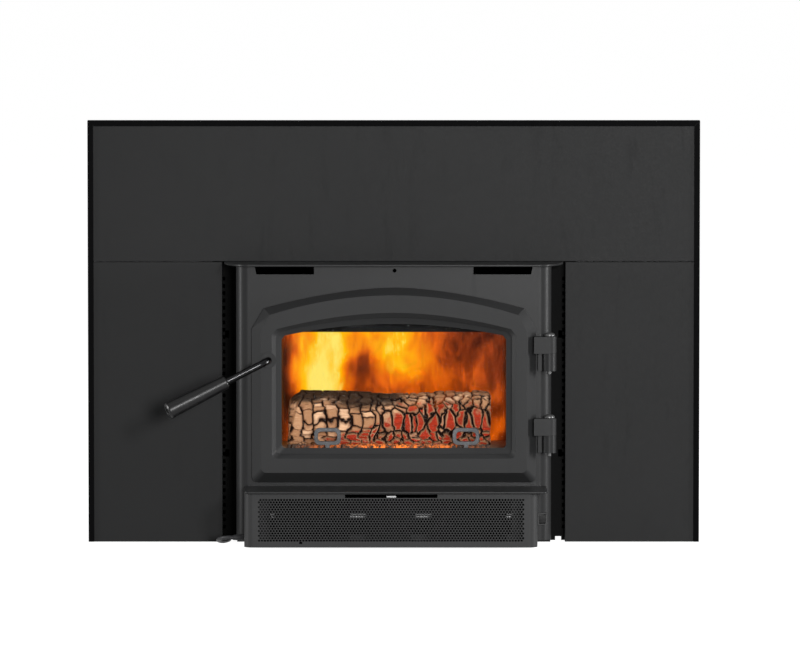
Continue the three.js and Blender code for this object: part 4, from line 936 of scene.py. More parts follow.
class Pattern:
    """A Geometry Nodes tree that is built, run once and turned into a plain mesh."""

    def __init__(self, name: str, **sizes: float) -> None:
        """Starts a tree with named inputs.

        Args:
            name: Name of the pattern.
            **sizes: Its inputs and their values; a whole number makes an integer input.
        """
        self.name = name
        self.sizes = sizes
        self.tree = bpy.data.node_groups.new(name, "GeometryNodeTree")
        self.tree.interface.new_socket(name="Geometry", in_out="OUTPUT", socket_type="NodeSocketGeometry")
        self.sockets = {}
        for key, value in sizes.items():
            kind = "NodeSocketInt" if isinstance(value, int) else "NodeSocketFloat"
            self.sockets[key] = self.tree.interface.new_socket(name=key, in_out="INPUT", socket_type=kind)
        self.source = self.tree.nodes.new("NodeGroupInput")

    def size(self, name: str) -> Socket:
        """The socket of a named input."""
        return self.source.outputs[name]

    def add(
        self, kind: str, feeds: dict[str, object] | None = None, output: int | str = 0, **settings: object,
    ) -> Socket:
        """Adds a node.

        Args:
            kind: Node type after "GeometryNode", or a full type name.
            feeds: Sockets or values by the input's name or place.
            output: Name or place of the output that is wanted.
            **settings: Properties of the node.

        Returns:
            The output.
        """
        full = kind if kind.startswith(("Shader", "Function")) else "GeometryNode" + kind
        node = self.tree.nodes.new(full)
        for key, value in settings.items():
            setattr(node, key, value)
        for key, value in (feeds or {}).items():
            for one in value if isinstance(value, list) else [value]:
                if isinstance(one, bpy.types.NodeSocket):
                    self.tree.links.new(one, node.inputs[key])
                else:
                    node.inputs[key].default_value = one
        return node.outputs[output]

    def maths(self, kind: str, a: object, b: object = 0.0) -> Socket:
        """A sum on two numbers.

        Args:
            kind: The operation.
            a: First number.
            b: Second number.

        Returns:
            The result.
        """
        return self.add("ShaderNodeMath", {0: a, 1: b}, operation=kind)

    def times(self, a: object, b: object) -> Socket:
        """Two numbers multiplied."""
        return self.maths("MULTIPLY", a, b)

    def grid(self, width: object, depth: object, columns: object, rows: object) -> Socket:
        """A flat grid of points.

        Args:
            width: Its size across.
            depth: Its size inwards.
            columns: Points across.
            rows: Points inwards.

        Returns:
            The grid.
        """
        sizes = {"Size X": width, "Size Y": depth, "Vertices X": columns, "Vertices Y": rows}
        return self.add("MeshGrid", sizes)

    def chance(self, least: Point, most: Point, seed: object) -> Socket:
        """A random vector on each point.

        Args:
            least: Its least values.
            most: Its greatest values.
            seed: The seed.

        Returns:
            The vector.
        """
        feeds = {0: least, 1: most, "Seed": seed}
        return self.add("FunctionNodeRandomValue", feeds, data_type="FLOAT_VECTOR")

    def vector(self, x: object = 0.0, y: object = 0.0, z: object = 0.0) -> Socket:
        """A vector of three numbers.

        Args:
            x: Across.
            y: Inwards.
            z: Upwards.

        Returns:
            The vector.
        """
        return self.add("ShaderNodeCombineXYZ", {"X": x, "Y": y, "Z": z})

    def moved(self, geometry: Socket, by: object = (0, 0, 0), turn: Point = (0, 0, 0)) -> Socket:
        """Moves or turns geometry.

        Args:
            geometry: The geometry.
            by: The shift.
            turn: Turns in radians.

        Returns:
            The moved geometry.
        """
        return self.add("Transform", {"Geometry": geometry, "Translation": by, "Rotation": turn})

    def joined(self, *geometries: Socket) -> Socket:
        """Several geometries as one."""
        return self.add("JoinGeometry", {"Geometry": list(geometries)})

    def flipped(self, geometry: Socket) -> Socket:
        """Geometry whose faces point the other way."""
        return self.add("FlipFaces", {"Mesh": geometry})

    def repeated(self, points: Socket, instance: Socket, **feeds: object) -> Socket:
        """Sets an instance on each point.

        Args:
            points: The points.
            instance: What stands on each.
            **feeds: Rotation or Scale of the instances.

        Returns:
            The instances.
        """
        return self.add("InstanceOnPoints", {"Points": points, "Instance": instance, **feeds})

    def bake(self, geometry: Socket, material: Material) -> Piece:
        """Ends the tree, runs it and keeps the plain mesh.

        Args:
            geometry: What the tree makes.
            material: Its material.

        Returns:
            The piece.
        """
        real = self.add("RealizeInstances", {"Geometry": geometry})
        last = self.add("SetMaterial", {"Geometry": real, "Material": material})
        sink = self.tree.nodes.new("NodeGroupOutput")
        self.tree.links.new(last, sink.inputs[0])
        piece = shown(self.name, bpy.data.meshes.new(self.name), material)
        modifier = piece.modifiers.new("pattern", "NODES")
        modifier.node_group = self.tree
        for key, value in self.sizes.items():
            modifier[self.sockets[key].identifier] = value
        baked(piece)
        if len(piece.data.materials) > 1:
            piece.data.materials.pop(index=0)
        return piece


# ---------------------------------------------------------------- studio


@dataclass
class Studio:
    """Camera, lamps, sky and floor round the object."""

    aim: Point = (0.0109, -0.106, 0.36225)
    distance: float = 12.0
    elevation: float = 4.0
    lens: float = 309.53
    floor_radius: float = 90.0
    sky: float = 0.08

    def camera(self) -> None:
        """Sets the camera at the photograph's angle."""
        data = bpy.data.cameras.new("camera")
        data.lens, data.sensor_width = self.lens, 36.0
        data.clip_start, data.clip_end = 0.5, 400.0
        tilt = math.radians(self.elevation)
        back = Vector((0, -math.cos(tilt), math.sin(tilt)))
        camera = bpy.data.objects.new("camera", data)
        camera.location = Vector(self.aim) + back * self.distance
        camera.rotation_euler = (math.radians(90 - self.elevation), 0, 0)
        bpy.context.scene.collection.objects.link(camera)
        bpy.context.scene.camera = camera

    def lamp(self, name: str, at: Point, size: tuple[float, float], power: float) -> None:
        """Hangs a softbox that faces the object.

        Args:
            name: Name of the lamp.
            at: Its place.
            size: Its width and height.
            power: Its power in watts.
        """
        data = bpy.data.lights.new(name, "AREA")
        data.shape, data.size, data.size_y = "RECTANGLE", *size
        data.energy = power
        lamp = bpy.data.objects.new(name, data)
        lamp.location = at
        lamp.rotation_mode = "QUATERNION"
        lamp.rotation_quaternion = (Vector(at) - Vector(self.aim)).to_track_quat("Z", "Y")
        bpy.context.scene.collection.objects.link(lamp)

    def sky_and_floor(self) -> None:
        """Lays the floor and sets the sky that lights the object evenly."""
        world = bpy.data.worlds.new("studio")
        bpy.context.scene.world = world
        world.use_nodes = True
        tree = world.node_tree
        path = tree.nodes.new("ShaderNodeLightPath")
        strength = None
        for kind in ("Is Camera Ray", "Is Glossy Ray", "Is Transmission Ray"):
            larger = tree.nodes.new("ShaderNodeMath")
            larger.operation = "MAXIMUM"
            larger.inputs[1].default_value = self.sky
            tree.links.new(path.outputs[kind], larger.inputs[0])
            if strength is not None:
                tree.links.new(strength, larger.inputs[1])
            strength = larger.outputs[0]
        tree.links.new(strength, tree.nodes["Background"].inputs["Strength"])
        tree.nodes["Background"].inputs["Color"].default_value = (1, 1, 1, 1)
        edit = bmesh.new()
        bmesh.ops.create_circle(edit, cap_ends=True, segments=96, radius=self.floor_radius)
        floor = from_bmesh("floor", edit, StudioFloor().make())
        floor.location = (0, 0, -0.0006)

    def build(self) -> None:
        """Builds the studio."""
        bpy.context.scene.view_settings.view_transform = "Standard"
        self.camera()
        self.sky_and_floor()
        self.lamp("front_softbox", (1.0, -6.4, 0.95), (1.1, 1.1), 430)
        self.lamp("key_softbox", (2.3, -6.0, 2.0), (0.7, 0.9), 240)
        self.lamp("right_strip", (4.5, -0.9, 0.9), (0.5, 1.6), 340)
        self.lamp("left_strip", (-4.5, -0.9, 0.9), (0.5, 1.6), 260)
        self.lamp("top_softbox", (0.2, -1.6, 4.2), (3.0, 1.6), 12)


# ---------------------------------------------------------------- mains lead


@dataclass
class MainsLead:
    """The free lead: out of the fan housing, under the flange and into its coil behind the left panel."""

    plan_shift: float = -0.086
    start_x: float = -0.2783
    exit_y: float = -0.125
    exit_z: float = 0.018
    rest_z: float = 0.0036
    radius: float = 0.0035
    coil_x: float = -0.415
    coil_y: float = 0.100
    inner_radius: float = 0.0285
    pitch: float = 0.0077
    layer_turns: int = 3
    turn_steps: int = 48
    reversal: float = 0.15
    climb: float = 0.5
    lead_in: float = 0.007
    tail: float = 0.040
    length: float = 1.83
    plug_edge: float = 0.0012
    relief_edge: float = 0.0004

    def route(self) -> list[Vector]:
        """Listed points of the free stretch.

        Returns:
            The points, from the housing to the coil.
        """
        x, y, z = self.start_x, self.exit_y, self.exit_z
        entry_x, entry_y = self.coil_x + self.lead_in, self.coil_y - self.outer()
        return [Vector(point) for point in (
            (x, y, z), (x - 0.007, y, z), (x - 0.0175, y + 0.005, z - 0.0014),
            (x - 0.024, y + 0.016, z - 0.0042), (x - 0.0265, y + 0.028, z - 0.007),
            (x - 0.025, y + 0.044, z - 0.0102), (x - 0.020, y + 0.062, z - 0.0128),
            (x - 0.014, y + 0.082, self.rest_z + 0.0004), (x - 0.010, y + 0.104, self.rest_z),
            (x - 0.009, y + 0.122, self.rest_z), (x - 0.0105, y + 0.138, self.rest_z),
            (x - 0.018, entry_y - 0.015, self.rest_z), (x - 0.033, entry_y - 0.004, self.rest_z),
            (x - 0.052, entry_y - 0.0003, self.rest_z), (x - 0.080, entry_y, self.rest_z),
            (entry_x + 0.018, entry_y, self.rest_z), (entry_x + 0.0003, entry_y, self.rest_z),
        )]

    def outer(self) -> float:
        """Radius of the coil's outermost turn."""
        return self.inner_radius + self.pitch * self.layer_turns

    @staticmethod
    def curve_between(points: list[Vector], steps: int = 8) -> list[Vector]:
        """Centripetal curve through points.

        Args:
            points: The points.
            steps: New points for each stretch.

        Returns:
            The dense points.
        """
        ends = [points[0] * 2 - points[1], *points, points[-1] * 2 - points[-2]]
        dense = []
        for p0, p1, p2, p3 in zip(ends, ends[1:], ends[2:], ends[3:]):
            t1 = (p1 - p0).length ** 0.5
            t2 = t1 + (p2 - p1).length ** 0.5
            t3 = t2 + (p3 - p2).length ** 0.5
            for step in range(steps):
                t = t1 + (t2 - t1) * step / steps
                a1 = p0.lerp(p1, t / t1)
                a2 = p1.lerp(p2, (t - t1) / (t2 - t1))
                a3 = p2.lerp(p3, (t - t2) / (t3 - t2))
                b1 = a1.lerp(a2, t / t2)
                b2 = a2.lerp(a3, (t - t1) / (t3 - t1))
                dense.append(b1.lerp(b2, (t - t1) / (t2 - t1)))
        return [*dense, points[-1]]

    def coil(self) -> list[Vector]:
        """Points of the coil, inwards on the lower layer and outwards on the upper one.

        Returns:
            The points.
        """
        turns, share = self.layer_turns, self.reversal
        scale = turns / (math.hypot(turns, share) - share)
        points = [Vector((self.coil_x + self.lead_in, self.coil_y - self.outer(), self.rest_z))]
        for step in range(2 * turns * self.turn_steps + 1):
            turn = step / self.turn_steps
            middle = turn - turns
            radius = self.inner_radius + self.pitch * (math.hypot(middle, share) - share) * scale
            rise = min(max((middle + self.climb / 2) / self.climb, 0.0), 1.0)
            rise = rise * rise * (3 - 2 * rise)
            angle = -math.pi / 2 - 2 * math.pi * turn
            x = self.coil_x + radius * math.cos(angle)
            y = self.coil_y + radius * math.sin(angle)
            points.append(Vector((x, y, self.rest_z + rise * self.pitch)))
        return [*points, points[-1] - Vector((self.tail, 0, 0))]

    def build(self) -> None:
        """Builds the lead, its relief and its plug."""
        rubber = Moulded("lead_rubber", (0.012, 0.012, 0.013), 0.5, specular=0.15).make()
        shift = Vector((0, self.plan_shift, 0))
        points = [point + shift for point in [*self.curve_between(self.route())[:-1], *self.coil()]]
        data = bpy.data.curves.new("mains_lead", "CURVE")
        data.dimensions = "3D"
        data.bevel_depth, data.bevel_resolution, data.use_fill_caps = self.radius, 3, True
        spline = data.splines.new("POLY")
        spline.points.add(len(points) - 1)
        for target, point in zip(spline.points, points):
            target.co = (*point, 1.0)
        data.materials.append(rubber)
        lead = bpy.data.objects.new("mains_lead", data)
        bpy.context.scene.collection.objects.link(lead)
        settle(lead, Body.FIXED, "cord_black", "power_cord", "cord_coil")
        plug = finished("power_plug", "cord_black", rubber, self.plug_edge)
        finished("strain_relief", "cord_black", rubber, self.relief_edge)


# ---------------------------------------------------------------- surround and body


@dataclass
class Surround:
    """Three folded panels, their edge trim and the slotted flanges behind the side gaps."""

    fold: float = 0.0011
    trim_edge: float = 0.0005
    flange_edge: float = 0.0003

    def build(self) -> None:
        """Builds the surround."""
        panel = StovePaint("panel_paint", (0.0075, 0.0076, 0.0077), 0.5).make()
        trim = StovePaint("trim_paint", (0.0012, 0.0012, 0.0013), 0.6, specular=0.01).make()
        shadow = StovePaint("flange_paint", (0.0025, 0.0025, 0.0025), 0.7, specular=0.02).make()
        for side in ("top", "left", "right"):
            finished(f"surround_{side}_panel", "surround_paint", panel, self.fold)
            finished(f"trim_{side}", "trim_paint", trim, self.trim_edge)
        for side in ("left", "right"):
            finished(f"flange_{side}", "dark_steel", shadow, self.flange_edge)


@dataclass
class Cabinet:
    """The stove's body sheet, top plate, ash ledge and base, the jacket round the firebox and the blower."""

    edge: float = 0.0008
    plate_edge: float = 0.001
    base_edge: float = 0.0005
    jacket_edge: float = 0.0004
    bolt_edge: float = 0.0005
    colour: Colour = (0.0105, 0.0106, 0.0108)
    roughness: float = 0.35
    specular: float = 0.06
    # Window on the body front behind the door glass where the paint is near black: soot and painted shade.
    soot_and_shade_window: tuple[float, float, float] = (0.212, 0.285, 0.115)

    def build(self) -> None:
        """Builds the cabinet."""
        look = {"colour": self.colour, "roughness": self.roughness, "specular": self.specular}
        paint = StovePaint("stove_paint", **look).make()
        front = StovePaint("body_paint", sooty_and_shaded=self.soot_and_shade_window, **look).make()
        finished("body_front", "body_paint", front, self.edge)
        finished("top_plate", "body_paint", paint, self.plate_edge)
        finished("ash_ledge", "body_paint", paint, self.plate_edge)
        base = StovePaint("base_paint", (0.006, 0.006, 0.006), 0.7).make()
        finished("base_plate", "dark_steel", base, self.base_edge)
        zinc = Galvanised("zinc_sheet", (0.30, 0.31, 0.32)).make()
        for side in ("left", "right", "back", "top"):
            finished(f"jacket_{side}", "galvanised_steel", zinc, self.jacket_edge)
        for side in ("left", "right"):
            finished(f"levelling_bolt_{side}", "galvanised_steel", zinc, self.bolt_edge)
        # Black paint, made near black and matt as painted shade for the dark behind the grille.
        dark = StovePaint("blower_paint_and_shade", (0.0008, 0.0008, 0.0008), 0.9, specular=0.01).make()
        dressed(dark, "blower_motor")
        for side in ("left", "right"):
            dressed(dark, f"blower_scroll_{side}", f"impeller_{side}")


@dataclass
class FanHousing:
    """The perforated sheet in front of the blower, with the air lever and the switch near it."""

    centre_x: float = -0.00445
    centre_z: float = 0.0551
    front_y: float = -0.287
    sheet: float = 0.002
    pitch: float = 0.00508
    row_pitch: float = 0.00413
    hole_radius: float = 0.00202
    hole_corners: int = 8
    columns: int = 90
    rows: int = 18
    cut_depth: float = 0.012
    edge: float = 0.0004
    bezel_edge: float = 0.0006

    def window(self) -> tuple[float, float]:
        """Half width and half height of the perforated field."""
        return self.columns * self.pitch / 2 + self.pitch / 4, self.rows * self.row_pitch / 2

    def open_front(self, piece: Piece) -> None:
        """Cuts the perforated field out of the plain sheet.

        Args:
            piece: The copy of the housing.
        """
        half_x, half_z = self.window()
        edit = bmesh.new()
        bmesh.ops.create_cube(edit, size=1)
        size = Matrix.Diagonal((2 * half_x, self.cut_depth, 2 * half_z, 1))
        middle = Matrix.Translation((self.centre_x, self.front_y, self.centre_z))
        bmesh.ops.transform(edit, verts=edit.verts, matrix=middle @ size)
        cutter = from_bmesh("field", edit, piece.data.materials[0])
        hole = piece.modifiers.new("field", "BOOLEAN")
        hole.operation, hole.object, hole.solver = "DIFFERENCE", cutter, "EXACT"
        baked(piece)
        bpy.data.objects.remove(cutter)

    def perforated(self, material: Material) -> Piece:
        """Sets a tile with a hole on each place of the staggered grid and a half tile at each row's end.

        Args:
            material: The housing's paint.

        Returns:
            The perforated field.
        """
        made = Pattern("perforated_field", Columns=self.columns, Rows=self.rows, Pitch=self.pitch,
                       RowPitch=self.row_pitch, HoleRadius=self.hole_radius, Sheet=self.sheet,
                       Corners=self.hole_corners)
        pitch, row_pitch, sheet = made.size("Pitch"), made.size("RowPitch"), made.size("Sheet")
        columns, rows = made.size("Columns"), made.size("Rows")
        corners, radius = made.size("Corners"), made.size("HoleRadius")
        down = made.times(sheet, -1.0)
        outline = {"Width": pitch, "Height": row_pitch}
        tile = made.add("CurvePrimitiveQuadrilateral", outline, mode="RECTANGLE")
        ring = made.add("CurvePrimitiveCircle", {"Resolution": corners, "Radius": radius}, mode="RADIUS")
        face = made.add("FillCurve", {"Curve": made.joined(tile, ring)})
        rear = made.moved(made.flipped(face), made.vector(z=down))
        tube = {"Vertices": corners, "Radius": radius, "Depth": sheet}
        wall = made.add("MeshCylinder", tube, fill_type="NONE")
        wall = made.moved(made.flipped(wall), made.vector(z=made.times(down, 0.5)))
        width = made.times(made.maths("SUBTRACT", columns, 1), pitch)
        height = made.times(made.maths("SUBTRACT", rows, 1), row_pitch)
        grid = made.grid(width, height, columns, rows)
        odd = made.maths("MODULO", made.maths("MODULO", made.add("InputIndex"), rows), 2.0)
        stagger = made.times(made.maths("SUBTRACT", odd, 0.5), made.times(pitch, 0.5))
        places = made.add("SetPosition", {"Geometry": grid, "Offset": made.vector(x=stagger)})
        field = made.repeated(places, made.joined(face, rear, wall))
        bottom = made.vector(y=made.times(height, -0.5))
        step = made.vector(y=row_pitch)
        ends = made.add("MeshLine", {"Count": rows, "Start Location": bottom, "Offset": step})
        end_odd = made.maths("MODULO", made.add("InputIndex"), 2.0)
        reach = made.times(made.maths("SUBTRACT", 0.5, end_odd), made.times(pitch, columns))
        ends = made.add("SetPosition", {"Geometry": ends, "Offset": made.vector(x=reach)})
        blank = made.grid(made.times(pitch, 0.5), row_pitch, 2, 2)
        blank = made.joined(blank, made.moved(made.flipped(blank), made.vector(z=down)))
        whole = made.joined(field, made.repeated(ends, blank))
        whole = made.moved(whole, (self.centre_x, self.front_y, self.centre_z), (math.pi / 2, 0, 0))
        return made.bake(whole, material)

    def build(self) -> None:
        """Builds the housing."""
        paint = StovePaint("grille_paint", (0.0185, 0.0186, 0.0188), 0.42).make()
        finished("fan_housing", "grille_paint", paint, self.edge, change=self.open_front)
        settle(self.perforated(paint), Body.FIXED, "grille_paint")
        grey = PolishedBar("lever_steel", (0.12, 0.12, 0.12), 0.4).make()
        dressed(grey, "air_lever", "blower_shaft")
        plastic = Moulded("switch_plastic", (0.008, 0.008, 0.008), 0.3, specular=0.15).make()
        finished("switch_bezel", "switch_black", plastic, self.bezel_edge)
        dressed(plastic, "switch_rocker")


# ---------------------------------------------------------------- firebox


@dataclass
class BrickCourse:
    """Bricks in rows that fill the block of one lining."""

    node: str
    across: int
    along: int
    upright: int = 1
    joint: float = 0.0009
    edge: float = 0.0016
    edge_faces: int = 3

    def build(self, clay: Material) -> None:
        """Sets the bricks.

        Args:
            clay: Their material.
        """
        low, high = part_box(self.node)
        counts = (self.across, self.along, self.upright)
        step = [(high[i] - low[i]) / counts[i] for i in range(3)]
        sizes = [step[i] - (self.joint if counts[i] > 1 else 0) for i in range(3)]
        made = Pattern(f"{self.node}_bricks", Across=self.across, Along=self.along, Upright=self.upright,
                       StepX=step[0], StepY=step[1], StepZ=step[2],
                       SizeX=sizes[0], SizeY=sizes[1], SizeZ=sizes[2])
        across, along = made.size("Across"), made.size("Along")
        size = made.vector(made.size("SizeX"), made.size("SizeY"), made.size("SizeZ"))
        brick = made.add("MeshCube", {"Size": size})
        count = made.times(made.times(across, along), made.size("Upright"))
        line = made.add("MeshLine", {"Count": count, "Offset": (0, 0, 0)})
        index = made.add("InputIndex")
        above = made.maths("FLOOR", made.maths("DIVIDE", index, across))
        offset = made.vector(
            made.times(made.maths("MODULO", index, across), made.size("StepX")),
            made.times(made.maths("MODULO", above, along), made.size("StepY")),
            made.times(made.maths("FLOOR", made.maths("DIVIDE", above, along)), made.size("StepZ")),
        )
        places = made.add("SetPosition", {"Geometry": line, "Offset": offset})
        first = tuple(low[i] + step[i] / 2 for i in range(3))
        piece = made.bake(made.moved(made.repeated(places, brick), first), clay)
        settle(rounded(piece, self.edge, self.edge_faces), Body.FIXED, "firebrick", self.node)


@dataclass
class Firebox:
    """The welded box round the fire, its brick lining, baffle, air tubes, andirons and flue collar."""

    plate_edge: float = 0.0006
    board_edge: float = 0.0015
    duct_edge: float = 0.0004
    collar_edge: float = 0.0006
    andiron_edge: float = 0.0012

    def build(self) -> None:
        """Builds the firebox."""
        hot = FireSteel("fire_plate", (0.035, 0.030, 0.027)).make()
        for side in ("floor", "left", "right", "back", "top"):
            finished(f"firebox_{side}", "fire_steel", hot, self.plate_edge)
        clay = Firebrick("firebrick_clay", (0.50, 0.37, 0.25)).make()
        for side, across, along in (("floor", 4, 2), ("left", 1, 3), ("right", 1, 3), ("back", 4, 1)):
            BrickCourse(f"brick_{side}", across, along).build(clay)
        board = Firebrick("baffle_board", (0.55, 0.48, 0.40), 0.8).make()
        finished("baffle_board", "fibre_board", board, self.board_edge)
        tempered = TemperedSteel("tempered_tube", (0.42, 0.40, 0.37)).make()
        dressed(tempered, "air_tube_front", "air_tube_middle", "air_tube_rear")
        # The duct above the glass is near black: dark steel with painted shade for the dark band under the
        # door's top.
        dark = FireSteel("dark_plate", (0.012, 0.011, 0.010), (0.016, 0.012, 0.010), metallic=0.0).make()
        finished("air_wash_duct", "dark_steel", dark, self.duct_edge)
        collar = FireSteel("collar_steel", (0.05, 0.048, 0.046)).make()
        finished("flue_collar", "dark_steel", collar, self.collar_edge)
        iron = FireSteel("andiron_iron", (0.026, 0.026, 0.028), (0.035, 0.03, 0.028), 0.1).make()
        for side in ("left", "right"):
            finished(f"andiron_{side}", "dark_steel", iron, self.andiron_edge)


# ---------------------------------------------------------------- fire


@dataclass
class SplitLog:
    """The burning billet: flat-faced, broken into blocks by cracks along and across the grain."""

    left_x: float = -0.187
    right_x: float = 0.170
    centre_y: float = -0.066
    centre_z: float = 0.2131
    half: float = 0.0485
    columns: int = 400
    around: int = 216
    front_weight: float = 0.45
    squareness: float = 3.4
    depth_share: float = 0.93
    height_share: float = 0.985
    sag: float = 0.05
    end_rounding: float = 0.08
    end_slant: float = 0.011
    end_inset: float = 0.003
    end_rings: int = 13
    clearance: float = 0.0004
    block: tuple[float, float] = (0.0200, 0.0138)
    cell: tuple[float, float] = (0.0150, 0.0230)
    change_x: float = -0.030
    joined_share: float = 0.12
    crack_depth: float = 0.0065
    crack_width: float = 0.0013
    crack_reach: float = 0.0062
    block_step: float = 0.0022
    roughness: float = 0.0006

    def section(self, angle: float, along: float) -> tuple[float, float]:
        """Point of the section on a rounded square that sags in its middle.

        Args:
            angle: Angle round the section.
            along: Place along the log from 0 to 1.

        Returns:
            Depth and height from the middle of the section.
        """
        c, s = math.cos(angle), math.sin(angle)
        power = 2 / self.squareness
        depth = math.copysign(abs(c) ** power, c)
        height = math.copysign(abs(s) ** power, s)
        sag = self.sag * math.sin(math.pi * along) - 0.02 * math.sin(9 * along)
        depth *= self.depth_share + 0.05 * math.sin(5 * along)
        return depth, height * (self.height_share - (sag if s > 0 else 0))

    def cracked(self, x: float, girth: float) -> tuple[float, float, float]:
        """How near a point is to a crack, and which block it is on.

        Args:
            x: Place along the log.
            girth: Way round its section.

        Returns:
            0 in a crack to 1 in a block, the block's number from 0 to 1, and how deep the crack is.
        """
        wander = noise.noise(Vector((x * 30, girth * 55, 0.4)))
        jitter = noise.noise(Vector((x * 150, girth * 170, 2.7)))
        over = x - self.change_x + 0.012 * wander
        width, tall = self.block
        if over > 0:
            wide, high = self.cell
            slip = Vector((x / wide + 0.22 * jitter, girth / high + 0.16 * jitter + 0.3 * wander, 0.5))
            distances, places = noise.voronoi(slip)
            apart = max((places[1] - places[0]).length, 0.05)
            edge = min((distances[1] ** 2 - distances[0] ** 2) / (2 * apart) * wide, over)
            return self.shaped(edge, noise.cell(places[0] * 7.3), x, girth)
        u = x / width + 0.50 * wander + 0.16 * jitter
        column = math.floor(u)
        tall *= 0.75 + 0.6 * noise.cell(Vector((column * 1.7, 3.1, 0.2)))
        v = girth / tall + 9 * noise.cell(Vector((column * 2.3, 0.7, 5.2)))
        v += 0.30 * noise.noise(Vector((x * 60, girth * 35, column * 3.3))) + 0.14 * jitter
        row = math.floor(v)
        number = noise.cell(Vector((column * 1.3 + 0.5, row * 1.9 + 0.5, 8.6)))
        joined = noise.cell(Vector((column * 3.1, row * 1.1, 2.2))) < self.joined_share
        upright = min(u - column, column + 1 - u) * width
        level = min(v - row, row + 1 - v) * tall * (1.25 if not joined else 3)
        return self.shaped(min(upright, level, -over), number, x, girth)

    def shaped(self, edge: float, number: float, x: float, girth: float) -> tuple[float, float, float]:
        """Turns the way to the next crack into the crack's shape.

        Args:
            edge: Way to the next crack.
            number: The block's number.
            x: Place along the log.
            girth: Way round its section.

        Returns:
            0 in a crack to 1 in a block, the block's number, and how deep the crack is.
        """
        opening = self.crack_width + 0.0008 * (0.5 + noise.noise(Vector((x * 40, girth * 40, 7.7))))
        inside = min(max((edge - opening * 0.35) / opening, 0.0), 1.0)
        return min(edge / self.crack_reach, 1.0), number, 1 - inside * inside * (3 - 2 * inside)

    def side_point(self, along: float, angle: float) -> tuple[Vector, float, float]:
        """A point on the log's long side.

        Args:
            along: Place along the log from 0 to 1.
            angle: Angle round the section.

        Returns:
            The point, how near it is to a crack and its block's number.
        """
        closing = min(along, 1 - along) * self.columns
        half = self.half * (1 - self.end_rounding * math.exp(-closing / 1.6))
        depth, height = self.section(angle, along)
        x = self.left_x + (self.right_x - self.left_x) * along
        x += self.end_slant * (height + 1) * max(0.0, 1 - along * 5)
        x += 0.0025 * math.sin(3 * angle) * along ** 8
        base = Vector((x, self.centre_y + half * depth, self.centre_z + half * height))
        near, number, deep = self.cracked(x, angle / (2 * math.pi) * 8 * self.half)
        rough = self.roughness * (1 + noise.noise(base * 260))
        sink = self.crack_depth * deep + self.block_step * number + rough
        if height < -0.96:
            sink *= 0.25
        place = base - Vector((0, depth, height)).normalized() * sink
        place.x = min(max(place.x, self.left_x + self.clearance), self.right_x - self.clearance)
        return place, near, number

    def end_point(self, rim: Vector, x: float, share: float) -> tuple[Vector, float, float]:
        """A point on one of the log's ends.

        Args:
            rim: The point of the outline that it lies behind.
            x: Place of the end.
            share: 1 at the outline to 0 in the middle.

        Returns:
            The point, how near it is to a crack and its block's number.
        """
        place = Vector((x, self.centre_y, self.centre_z)).lerp(rim, share)
        place.x = x + (rim.x - x) * share ** 6 + 0.0012 * noise.noise(place * 160)
        near, number, _ = self.cracked(place.y * 1.3, place.z)
        return place, near, number

    @staticmethod
    def ring(edit: bmesh.types.BMesh, points: list[tuple[Vector, float, float]]) -> list[bmesh.types.BMVert]:
        """Sets the vertices of a ring.

        Args:
            edit: The mesh, with its layers crack and block.
            points: Each vertex's place, crack value and block value.

        Returns:
            The vertices.
        """
        crack, block = edit.verts.layers.float["crack"], edit.verts.layers.float["block"]
        ring = []
        for place, near, number in points:
            vert = edit.verts.new(place)
            vert[crack], vert[block] = near, number
            ring.append(vert)
        return ring

    def join(self, edit: bmesh.types.BMesh, first: list, second: list) -> None:
        """Sets the faces between two rings.

        Args:
            edit: The mesh.
            first: Vertices of one ring.
            second: Vertices of the next.
        """
        for j in range(self.around):
            k = (j + 1) % self.around
            edit.faces.new((first[j], first[k], second[k], second[j]))

    def build(self) -> None:
        """Builds the log."""
        edit = bmesh.new()
        edit.verts.layers.float.new("crack")
        edit.verts.layers.float.new("block")
        turns = [2 * math.pi * (j + 0.5) / self.around for j in range(self.around)]
        angles = [turn + self.front_weight * math.sin(turn) for turn in turns]
        rings = []
        for i in range(self.columns + 1):
            rings.append(self.ring(edit, [self.side_point(i / self.columns, angle) for angle in angles]))
        for first, second in zip(rings, rings[1:]):
            self.join(edit, first, second)
        steps = self.end_rings + 1
        for rim, x in ((rings[0], self.left_x + self.end_inset), (rings[-1], self.right_x - self.end_inset)):
            outer = rim
            for step in range(1, steps):
                inner = self.ring(edit, [self.end_point(vert.co, x, 1 - step / steps) for vert in rim])
                self.join(edit, outer, inner)
                outer = inner
            edit.faces.new(outer)
        bmesh.ops.recalc_face_normals(edit, faces=edit.faces)
        piece = from_bmesh("split_log", edit, BurningWood().make())
        settle(piece, Body.FIXED, "split_log", "log")


